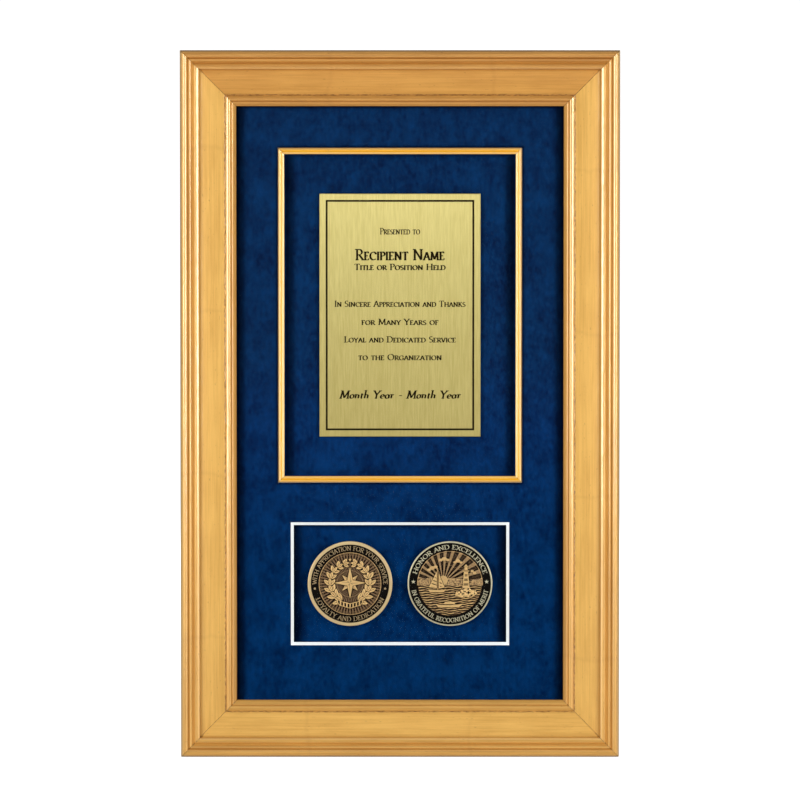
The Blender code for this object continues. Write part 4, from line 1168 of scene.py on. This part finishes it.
def add_coin(side, segments=640):
    low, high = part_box(f"coin_{side}")
    centre = (low + high) / 2
    face = COIN_FACES[side]
    coin_radius = 22.225
    rim_start = coin_radius - face["rim"]
    radii = np.concatenate([
        np.linspace(0.02, face["band"], 118),
        [face["band"] + 0.06, face["band"] + 0.8, rim_start - 0.5, rim_start - 0.02],
        np.linspace(rim_start, rim_start + 0.12, 4)[1:],
        [rim_start + 0.4, coin_radius - 0.5],
        coin_radius - 0.35 * (1 - np.sin(np.linspace(0, pi / 2, 6))),
    ])
    angles = np.arange(segments) * 2 * pi / segments
    grid_r, grid_a = np.meshgrid(radii, angles, indexing="ij")
    relief = Relief(face["band"] + 0.6, 0.085)
    face["design"](relief)
    face_x, face_z = grid_r * np.cos(grid_a), grid_r * np.sin(grid_a)
    inside = np.clip((face["band"] - grid_r) / 0.12, 0, 1)
    design = relief.sample(relief.height, face_x, face_z) * inside
    below = relief.softened(0.42) - relief.height
    hollow = np.clip(relief.sample(below, face_x, face_z) / 0.045, 0, 1) * inside
    height = coin_relief_height(grid_r, side, design)
    top = low.y + 0.57 * MM
    y = top - height * MM
    lift = np.clip(height / 0.46, 0, 1)
    lift = np.where(grid_r > rim_start + 0.05, 0.95, lift)
    lift = np.where((grid_r > face["band"] + 0.05) & (grid_r < rim_start), 0.0, lift)
    points = np.stack([centre.x + grid_r * MM * np.cos(grid_a), y, centre.z + grid_r * MM * np.sin(grid_a)], -1)
    rows = len(radii)
    shell = Shell()
    faces = grid_faces(rows, segments, wrap_columns=True)
    faces.append(tuple(range(segments)))
    pale = np.where(grid_r > rim_start, face["rim_pale"], 0.0)
    shell.add(points, faces, lift=lift, hollow=hollow, pale=pale)
    reeds = 0.06 * np.sin(angles * 160)
    rings = []
    edge_levels = ((0.0, low.y + 0.30 * MM), (0.06, low.y + 0.5 * MM), (0.06, high.y - 0.5 * MM), (0.0, high.y - 0.3 * MM))
    for reed, level in edge_levels:
        r = (coin_radius - reed * 1.0 + reed * reeds / 0.06 * 0.9 - 0.004) * MM
        rings.append(np.stack([centre.x + r * np.cos(angles), np.full(segments, level), centre.z + r * np.sin(angles)], -1))
    back_rings = [(coin_radius - 0.3, 0.02), (coin_radius - 1.6, 0.0), (coin_radius - 1.8, -0.15)]
    for radius, out in back_rings:
        rings.append(np.stack([
            centre.x + radius * MM * np.cos(angles),
            np.full(segments, high.y - 0.02 * MM + out * 0.1 * MM),
            centre.z + radius * MM * np.sin(angles),
        ], -1))
    base = shell.count
    loft(shell, rings, cap=False, lift=0.7, pale=face["rim_pale"])
    shell.faces.append(tuple(range(shell.count - segments, shell.count)))
    shell.slots.append(0)
    outer = (rows - 1) * segments
    for j in range(segments):
        k = (j + 1) % segments
        shell.faces.append((outer + j, outer + k, base + k, base + j))
        shell.slots.append(0)

    def band_point(angle, radius, y):
        return (centre.x + radius * MM * cos(angle), y, centre.z + radius * MM * sin(angle))

    raised = top - 0.42 * MM
    sunk = top + 0.05 * MM
    for text, span, upright in ((face["above"], ABOVE_SPAN[side], True), (face["below"], BELOW_SPAN[side], False)):
        ribbons, length = pen_strokes(text, face["weight"])
        across = radians(span) / length

        def lay(point, y):
            rise = (point[1] / 100 - 0.5) * face["cap"]
            swing = (point[0] - length / 2) * across
            if upright:
                return band_point(pi / 2 - swing, face["row"] + rise, y)
            return band_point(-pi / 2 + swing, face["row"] - rise, y)

        for left, right in ribbons:
            solid_ribbon(shell, left, right, lay, raised, sunk, lift=face["letter_lift"], pale=face["letter_pale"])
    for mark_x in (-1, 1):
        mark_a = radians(-8) if side == "left" else radians(3)
        cx = mark_x * face["row"] * cos(mark_a)
        cz = face["row"] * sin(mark_a)
        tips = star_points(cx, cz, 1.15, 0.48) if face["mark"] == "star" else star_points(cx, cz, 0.62, 0.5, 6)
        rings = [[(centre.x + px * MM, level, centre.z + pz * MM) for px, pz in tips] for level in (raised, sunk)]
        loft(shell, rings, lift=face["letter_lift"], pale=face["letter_pale"])
    make_piece(f"medallion_{side}", shell, (BRONZE,), FRAME, [f"coin_{side}"], angle=40, recalc=True)


# --- Flat boards, pane and small kept pieces ---
def softened_box(name, node, materials, edge, body=FRAME):
    low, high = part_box(node)
    shell = Shell()
    corner = edge * 1.5
    outline = []
    for cx, cz, start in ((high.x, high.z, 0), (low.x, high.z, 90), (low.x, low.z, 180), (high.x, low.z, 270)):
        ox = cx - corner if cx > 0 else cx + corner
        oz = cz - corner if start < 180 else cz + corner
        outline += [(ox + corner * cos(radians(start + k * 22.5)), oz + corner * sin(radians(start + k * 22.5))) for k in range(5)]
    rounded_plate(shell, outline, low.y, high.y, edge)
    return make_piece(name, shell, materials, body, [node], angle=40)


def add_boards():
    softened_box("clear_glazing", "glazing_pane", (PANE,), 0.12 * MM)
    softened_box("hardboard_back", "back_panel", (FIBRE,), 0.35 * MM)
    softened_box("foam_filler", "filler_board", (FOAM,), 0.2 * MM)
    nodes = frame["nodes"]
    for name in nodes:
        if name.startswith("spacer_"):
            repaint(nodes[name], FOAM)
        elif name.startswith(("plaque_tape", "coin_pad")):
            repaint(nodes[name], TAPE)
        elif name.startswith("vnail"):
            repaint(nodes[name], ZINC)


def repaint(node, material):
    for slot in node.material_slots:
        slot.material = material


# --- Screws, turn buttons, straps, rings and wire ---
def screw_mesh():
    """A pan-head screw with a cross recess, its head's underside at y = 0."""
    head_radius = 3.2 * MM
    head_height = 2.0 * MM
    shank = 1.35 * MM
    length = 11.0 * MM
    profile = [(0.0, -length), (0.25 * MM, -length + 0.3 * MM), (shank * 0.75, -length + 2.5 * MM)]
    turns = 9
    thread_bottom = -length + 2.6 * MM
    for k in range(turns):
        y = thread_bottom + (-thread_bottom - 1.0 * MM) * k / turns
        pitch = (-thread_bottom - 1.0 * MM) / turns
        profile += [(shank * 0.74, y), (shank, y + pitch * 0.45), (shank * 0.74, y + pitch * 0.7)]
    profile += [(shank, -0.5 * MM), (shank, 0.0), (head_radius * 0.94, 0.0), (head_radius, 0.12 * MM)]
    for k in range(9):
        t = pi / 2 * k / 9
        profile.append((head_radius * cos(t), head_height * (0.32 + 0.68 * sin(t))))
    profile.append((0.0, head_height))
    shell = Shell()
    revolve(shell, profile, 32)
    cross = Shell()
    wide, deep, narrow = 1.75 * MM, 1.25 * MM, 0.42 * MM
    for along_x in (True, False):
        rings = []
        for y, reach, half in ((head_height - deep, 0.35 * MM, 0.2 * MM), (head_height + 0.3 * MM, wide, narrow)):
            corners = ((-reach, -half), (reach, -half), (reach, half), (-reach, half))
            rings.append([(a, y, b) if along_x else (-b, y, a) for a, b in corners])
        loft(cross, rings)
    body = plain_object("screw_blank", shell)
    cutter = plain_object("screw_cross", cross)
    cut = body.modifiers.new("recess", "BOOLEAN")
    cut.operation = "DIFFERENCE"
    cut.solver = "EXACT"
    cut.use_self = True
    cut.object = cutter
    depsgraph = bpy.context.evaluated_depsgraph_get()
    mesh = bpy.data.meshes.new_from_object(body.evaluated_get(depsgraph))
    bpy.data.objects.remove(body)
    bpy.data.objects.remove(cutter)
    mesh.materials.clear()
    mesh.materials.append(ZINC)
    mesh.shade_smooth()
    mesh.set_sharp_from_angle(angle=radians(35))
    return mesh


def plain_object(name, shell):
    mesh = bpy.data.meshes.new(name)
    mesh.from_pydata(np.concatenate(shell.points).tolist(), [], shell.faces)
    bm = bmesh.new()
    bm.from_mesh(mesh)
    bmesh.ops.recalc_face_normals(bm, faces=bm.faces)
    bm.to_mesh(mesh)
    bm.free()
    made = bpy.data.objects.new(name, mesh)
    bpy.context.scene.collection.objects.link(made)
    return made


def add_screws():
    mesh = screw_mesh()
    head_height = 2.0 * MM
    screws = sorted(n for n in frame["nodes"] if "screw" in n)
    for number, node in enumerate(screws):
        low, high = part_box(node)
        where = Vector(((low.x + high.x) / 2, high.y - head_height, (low.z + high.z) / 2))
        place = Matrix.Translation(where) @ Matrix.Rotation(0.7 * number, 4, "Y")
        place_piece(f"pan_head_{node}", mesh, FRAME, [node], place)


def button_plate(shell, thickness):
    """A turn button about its pivot at the origin with its tip towards +Z, a screw hole and a pressed rib."""
    heel, tip, reach, hole = 4.5 * MM, 3.5 * MM, 14.0 * MM, 1.8 * MM
    steps = 18
    outer = []
    inner = []
    for start, radius, centre in ((0.0, tip, reach - tip), (pi, heel, 0.0)):
        for k in range(steps):
            t = start + pi * k / (steps - 1)
            outer.append((radius * cos(t), centre + radius * sin(t)))
            inner_t = start + pi * (k + 0.5) / steps
            inner.append((hole * cos(inner_t), hole * sin(inner_t)))
    outer = np.array(outer)
    inner = np.array(inner)
    centroid = outer.mean(0)
    edge = 0.3 * MM
    rings = []
    towards = outer - centroid
    towards /= np.linalg.norm(towards, axis=1, keepdims=True)

    def ring(points, y):
        return np.stack([points[:, 0], np.full(len(points), y), points[:, 1]], -1)

    lip = 0.15 * MM
    hole_out = inner * (1 + lip / hole)
    for t in (0.0, 0.5, 1.0):
        rings.append(ring(inner * (1 - t) + hole_out * t, thickness - lip * (1 - sin(t * pi / 2)) * (1 - t)))
    for blend in (0.33, 0.66):
        rings.append(ring(hole_out * (1 - blend) + (outer - towards * edge) * blend, thickness))
    for k in range(5):
        t = pi / 2 * k / 4
        rings.append(ring(outer - towards * edge * (1 - sin(t)), thickness - edge * (1 - cos(t))))
    for k in range(5):
        t = pi / 2 * (4 - k) / 4
        rings.append(ring(outer - towards * edge * (1 - sin(t)), edge * (1 - cos(t))))
    rings.append(ring(hole_out, 0.0))
    rings.append(ring(inner, lip))
    loft(shell, rings, close=True)
    rib = 1.0 * MM
    rib_rings = []
    for k in range(13):
        t = k / 12
        z = 4.0 * MM + 6.6 * MM * t
        rise = max(0.03, sin(pi * t) ** 0.4)
        bend = [pi * m / 6 for m in range(7)]
        rib_rings.append([(rib * rise * cos(b), thickness - 0.05 * MM + 0.4 * MM * rise * sin(b), z) for b in bend])
    loft(shell, rib_rings)


def add_turn_buttons():
    turns = {"bottom": 0.0, "top": pi, "left_lower": pi / 2, "left_upper": pi / 2, "right_lower": -pi / 2, "right_upper": -pi / 2}
    pivots = {joint["child"]: joint["pos_m"] for joint in frame["joints"]}
    for place_name, turn in turns.items():
        node = f"turn_button_{place_name}"
        low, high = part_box(node)
        shell = Shell()
        button_plate(shell, high.y - low.y)
        pivot = Vector(pivots[node])
        pivot.y = low.y
        place = Matrix.Translation(pivot) @ Matrix.Rotation(turn, 4, "Y")
        make_piece(f"swing_{node}", shell, (ZINC,), node, [node], place, angle=40)


def strap_shell(width, drop, loop_radius, thickness, hole_drop):
    """A strap hanger about the ring's axis: a flat tongue with a rounded foot and a screw hole, and an open loop."""
    shell = Shell()
    centre_line = loop_radius - thickness / 2
    half = thickness / 2
    edge = 0.2 * MM
    path = [(-centre_line, -0.2 * MM)]
    turns = [radians(285) * k / 26 for k in range(27)]
    path += [(-centre_line * cos(t), centre_line * sin(t)) for t in turns]
    rings = []
    for i, (y, z) in enumerate(path):
        before = path[max(i - 1, 0)]
        after = path[min(i + 1, len(path) - 1)]
        ty, tz = after[0] - before[0], after[1] - before[1]
        size = hypot(ty, tz)
        ny, nz = -tz / size, ty / size
        ring = []
        for sx, sn in ((-1, -1), (1, -1), (1, 1), (-1, 1)):
            for k in range(3):
                corner = atan2(sn, sx) - pi / 4 * (1 if sx * sn > 0 else -1) * (1 - k)
                ring.append((sx * (width / 2 - edge) + edge * cos(corner), sn * (half - edge) + edge * sin(corner)))
        rings.append([(x, y + n * ny, z + n * nz) for x, n in ring])
    loft(shell, rings)
    foot = width / 2
    outline = []
    hole = []
    count = 40
    for k in range(count):
        a = 2 * pi * (k + 0.5) / count
        dx, dz = cos(a), sin(a)
        top = 0.0
        limit = []
        if dz > 0:
            limit.append((top + hole_drop) / dz)
        if abs(dx) > 1e-9:
            limit.append(foot / abs(dx))
        reach = min(limit) if limit else 1.0
        px, pz = reach * dx, -hole_drop + reach * dz
        centre_z = -drop + foot
        if pz < centre_z:
            b = (-hole_drop - centre_z) * dz
            c = (-hole_drop - centre_z) ** 2 - foot**2
            reach = -b + (b * b - c) ** 0.5
            px, pz = reach * dx, -hole_drop + reach * dz
        outline.append((px, pz))
        hole.append((1.8 * MM * dx, -hole_drop + 1.8 * MM * dz))
    front = -loop_radius
    back = front + thickness
    rings = []
    for points, y in ((hole, front), (outline, front), (outline, back - 0.15 * MM)):
        rings.append([(x, y, z) for x, z in points])
    shrunk = [(x * 0.97, -hole_drop + (z + hole_drop) * 0.985) for x, z in outline]
    rings.append([(x, back, z) for x, z in shrunk])
    rings.append([(x * 1.15, back, -hole_drop + (z + hole_drop) * 1.15) for x, z in hole])
    rings.append([(x, back - 0.2 * MM, z) for x, z in hole])
    loft(shell, rings, close=True)
    return shell


def add_hanging_hardware():
    hinge = next(j for j in frame["joints"] if j["child"] == HANGER)["pos_m"]
    axis_y, axis_z = hinge[1], hinge[2]
    low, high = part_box("hanger_strap_right")
    loop_radius = axis_y - low.y
    hanger_x = (low.x + high.x) / 2
    for side, sign in (("left", -1), ("right", 1)):
        shell = strap_shell(high.x - low.x, axis_z - low.z, loop_radius, 0.8 * MM, 14.0 * MM)
        place = Matrix.Translation((sign * hanger_x, axis_y, axis_z))
        make_piece(f"strap_{side}", shell, (ZINC,), FRAME, [f"hanger_strap_{side}"], place, angle=40)

    tilt = radians(8)
    ring_half, straight, corner, wire_radius = 6.5 * MM, 5.0 * MM, 1.5 * MM, 1.0 * MM

    def leaning(x, u, w=0.0):
        return Vector((x, axis_y + u * sin(tilt) + w * cos(tilt), axis_z + u * cos(tilt) - w * sin(tilt)))

    corner_x = ring_half - corner
    path = [(corner_x + corner * cos(t), corner * (1 + sin(t))) for t in np.linspace(-pi / 2, 0, 8)]
    path += [(ring_half * cos(t), straight + ring_half * sin(t)) for t in np.linspace(0, pi, 33)]
    path += [(-corner_x + corner * cos(t), corner * (1 + sin(t))) for t in np.linspace(pi, 3 * pi / 2, 8)]
    for side, sign in (("left", -1), ("right", 1)):
        shell = Shell()
        tube(shell, [leaning(sign * hanger_x + x, u) for x, u in path], wire_radius, 16, close=True)
        make_piece(f"ring_{side}", shell, (ZINC,), HANGER, [f"dring_{side}"], angle=60)

    attach = radians(50)
    curl = 2.0 * MM
    peak = 28.0 * MM
    hook_x = -hanger_x + ring_half * sin(attach)
    hook_u = straight + ring_half * cos(attach)
    half_path = []
    for k in range(13):
        t = radians(330 - 240 * k / 12)
        out = curl * cos(t)
        half_path.append(leaning(hook_x + out * sin(attach), hook_u + out * cos(attach), curl * sin(t)))

    def outwards(distance):
        return leaning(hook_x + distance * sin(attach), hook_u + distance * cos(attach), curl)

    start, start_pull = outwards(2.5 * MM), outwards(14 * MM)
    middle_pull, centre = leaning(-hanger_x * 0.4, peak), leaning(0.0, peak)
    for k in range(41):
        t = k / 40
        s = 1 - t
        half_path.append(s**3 * start + 3 * s * s * t * start_pull + 3 * s * t * t * middle_pull + t**3 * centre)
    mirrored = [Vector((-p.x, p.y, p.z)) for p in reversed(half_path[:-1])]
    twisted_wire(half_path, mirrored)


def twisted_wire(half_path, mirrored):
    """Five strands twisted along the wire's path, with each tail wound round the wire beside its ring."""
    path = evenly_spaced([Vector(p) for p in half_path + mirrored], 0.55 * MM)
    strands = 5
    strand_radius = 0.2 * MM
    lay_radius = 0.36 * MM
    shell = Shell()
    frames = path_frames(path)
    for s in range(strands):
        line = []
        for i, (point, side, up) in enumerate(frames):
            a = 2 * pi * s / strands + i * 0.55 * MM / (5.2 * MM) * 2 * pi
            line.append(point + lay_radius * (side * cos(a) + up * sin(a)))
        tube(shell, line, strand_radius, 6)
    core = [point for point, _, _ in frames]
    tube(shell, core, 0.2 * MM, 6)
    for begin in (int(9 * MM / (0.55 * MM)), len(frames) - 1 - int(9 * MM / (0.55 * MM)) - 16):
        wound = []
        turns_count = 7
        steps = 16 * turns_count
        for k in range(steps + 1):
            place = begin + 16 * k / steps
            i = int(place)
            blend = place - i
            point = frames[i][0].lerp(frames[min(i + 1, len(frames) - 1)][0], blend)
            side, up = frames[i][1], frames[i][2]
            a = 2 * pi * turns_count * k / steps
            wound.append(point + 0.72 * MM * (side * cos(a) + up * sin(a)))
        tube(shell, wound, 0.17 * MM, 6)
    make_piece("braided_wire", shell, (ZINC,), HANGER, ["hanging_wire"], angle=60)


def evenly_spaced(path, step):
    lengths = [0.0]
    for a, b in zip(path, path[1:]):
        lengths.append(lengths[-1] + (b - a).length)
    count = int(lengths[-1] / step)
    spots = []
    i = 0
    for k in range(count + 1):
        target = lengths[-1] * k / count
        while i < len(path) - 2 and lengths[i + 1] < target:
            i += 1
        share = (target - lengths[i]) / max(lengths[i + 1] - lengths[i], 1e-12)
        spots.append(path[i].lerp(path[i + 1], share))
    return spots


def path_frames(path):
    frames = []
    side = None
    for i, point in enumerate(path):
        tangent = (path[min(i + 1, len(path) - 1)] - path[max(i - 1, 0)]).normalized()
        side = side or tangent.orthogonal()
        side = (side - tangent * side.dot(tangent)).normalized()
        frames.append((point, side, tangent.cross(side)))
    return frames


def add_bumpers():
    for side in ("left", "right"):
        low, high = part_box(f"bumper_{side}")
        radius = (high.x - low.x) / 2
        thickness = high.y - low.y
        edge = 0.9 * MM
        profile = [(0.0, 0.0), (radius - 0.2 * MM, 0.0), (radius, 0.2 * MM), (radius * 0.985, thickness - edge)]
        profile += [(radius * 0.985 - edge * (1 - cos(t)), thickness - edge * (1 - sin(t))) for t in np.linspace(0.2, pi / 2, 7)]
        profile += [(radius * 0.45, thickness), (radius * 0.38, thickness - 0.35 * MM), (0.0, thickness - 0.35 * MM)]
        shell = Shell()
        revolve(shell, profile, 48, ((low.x + high.x) / 2, low.y, (low.z + high.z) / 2))
        make_piece(f"wall_bumper_{side}", shell, (RUBBER,), FRAME, [f"bumper_{side}"], angle=35)


# --- Stage, light and camera ---
METAL_FACES = ("brass_plaque", "medallion_left", "medallion_right")


def camera_only_glow(name, colour, glow):
    """A pale surface that looks white to the camera but lights the object only by what falls on it."""
    f = Finish(name)
    speck = f.noise(40.0, detail=2)
    tone = f.mix(f.span(speck, 0.3, 0.7, 0.0, 0.1), colour, tuple(0.97 * c for c in colour))
    seen = f.node("LightPath", "Is Camera Ray")
    return f.finish(
        Base_Color=tone,
        Roughness=0.9,
        Specular_IOR_Level=0.1,
        Emission_Color=(1, 1, 1),
        Emission_Strength=f.maths("MULTIPLY", seen, glow),
    )


def add_stage():
    radius = 6.0
    shell = Shell()
    ring = [(radius * cos(a), radius * sin(a), -0.0005) for a in np.linspace(0, 2 * pi, 97)[:-1]]
    shell.add(ring, [tuple(range(96))])
    mesh = bpy.data.meshes.new("floor")
    mesh.from_pydata(np.concatenate(shell.points).tolist(), [], shell.faces)
    mesh.materials.append(camera_only_glow("pale_floor", (0.80, 0.80, 0.80), 0.86))
    floor = bpy.data.objects.new("floor", mesh)
    bpy.context.scene.collection.objects.link(floor)


def add_world():
    world = bpy.data.worlds.new("soft_room")
    bpy.context.scene.world = world
    world.use_nodes = True
    tree = world.node_tree
    seen = tree.nodes.new("ShaderNodeLightPath")
    strength = tree.nodes.new("ShaderNodeMapRange")
    tree.links.new(seen.outputs["Is Camera Ray"], strength.inputs[0])
    strength.inputs[3].default_value = 0.22
    strength.inputs[4].default_value = 1.05
    background = tree.nodes["Background"]
    background.inputs["Color"].default_value = (1.0, 1.0, 1.0, 1.0)
    tree.links.new(strength.outputs[0], background.inputs["Strength"])


def add_softbox(name, where, size, power, target):
    light = bpy.data.lights.new(name, "AREA")
    light.shape = "RECTANGLE"
    light.size, light.size_y = size
    light.energy = power
    box = bpy.data.objects.new(name, light)
    box.location = where
    box.rotation_euler = (Vector(target) - Vector(where)).to_track_quat("-Z", "Y").to_euler()
    box.visible_camera = False
    bpy.context.scene.collection.objects.link(box)
    return box


def add_lights():
    """A softbox high on each side, mirrored, one behind for the back, and a card that gleams in the metal faces."""
    for side in (-1, 1):
        add_softbox(f"side_softbox_{side + 1}", (side * 0.68, -0.82, 0.29), (0.20, 0.46), 5.5, (0, 0, 0.24))
    add_softbox("back_softbox", (0.6, 1.3, 0.75), (1.0, 0.7), 12, (0, 0, 0.2))
    card = add_softbox("gleam_card", (0, -0.95, 0.48), (0.4, 0.08), 2.4, (0, 0, 0.25))
    card.visible_diffuse = False
    metal = bpy.data.collections.new("metal_faces")
    for name in METAL_FACES:
        metal.objects.link(bpy.data.objects[name])
    card.light_linking.receiver_collection = metal


def add_camera():
    """A long lens almost square to the front and slightly above it."""
    data = bpy.data.cameras.new("camera")
    camera = bpy.data.objects.new("camera", data)
    distance = 3.0
    elevation = radians(2.9)
    scale = 1.9226 / MM  # image points per metre at the frame's front
    image_width = 800
    data.sensor_width = 36.0
    data.lens = scale * distance * data.sensor_width / image_width
    data.clip_end = 50
    aim = Vector((0, BACK_Y - MOULDING_DEPTH, CENTRE_Z + 2.5 * MM))
    offset = Vector((0, -cos(elevation), sin(elevation))) * distance
    camera.location = aim + offset
    camera.rotation_euler = (-offset).to_track_quat("-Z", "Y").to_euler()
    bpy.context.scene.collection.objects.link(camera)
    bpy.context.scene.camera = camera


add_moulding()
add_fillet()
add_mats()
add_plaque()
for coin_side in COIN_FACES:
    add_coin(coin_side)
add_boards()
add_screws()
add_turn_buttons()
add_hanging_hardware()
add_bumpers()
add_stage()
add_world()
add_lights()
add_camera()
bpy.context.scene.view_settings.view_transform = "Standard"
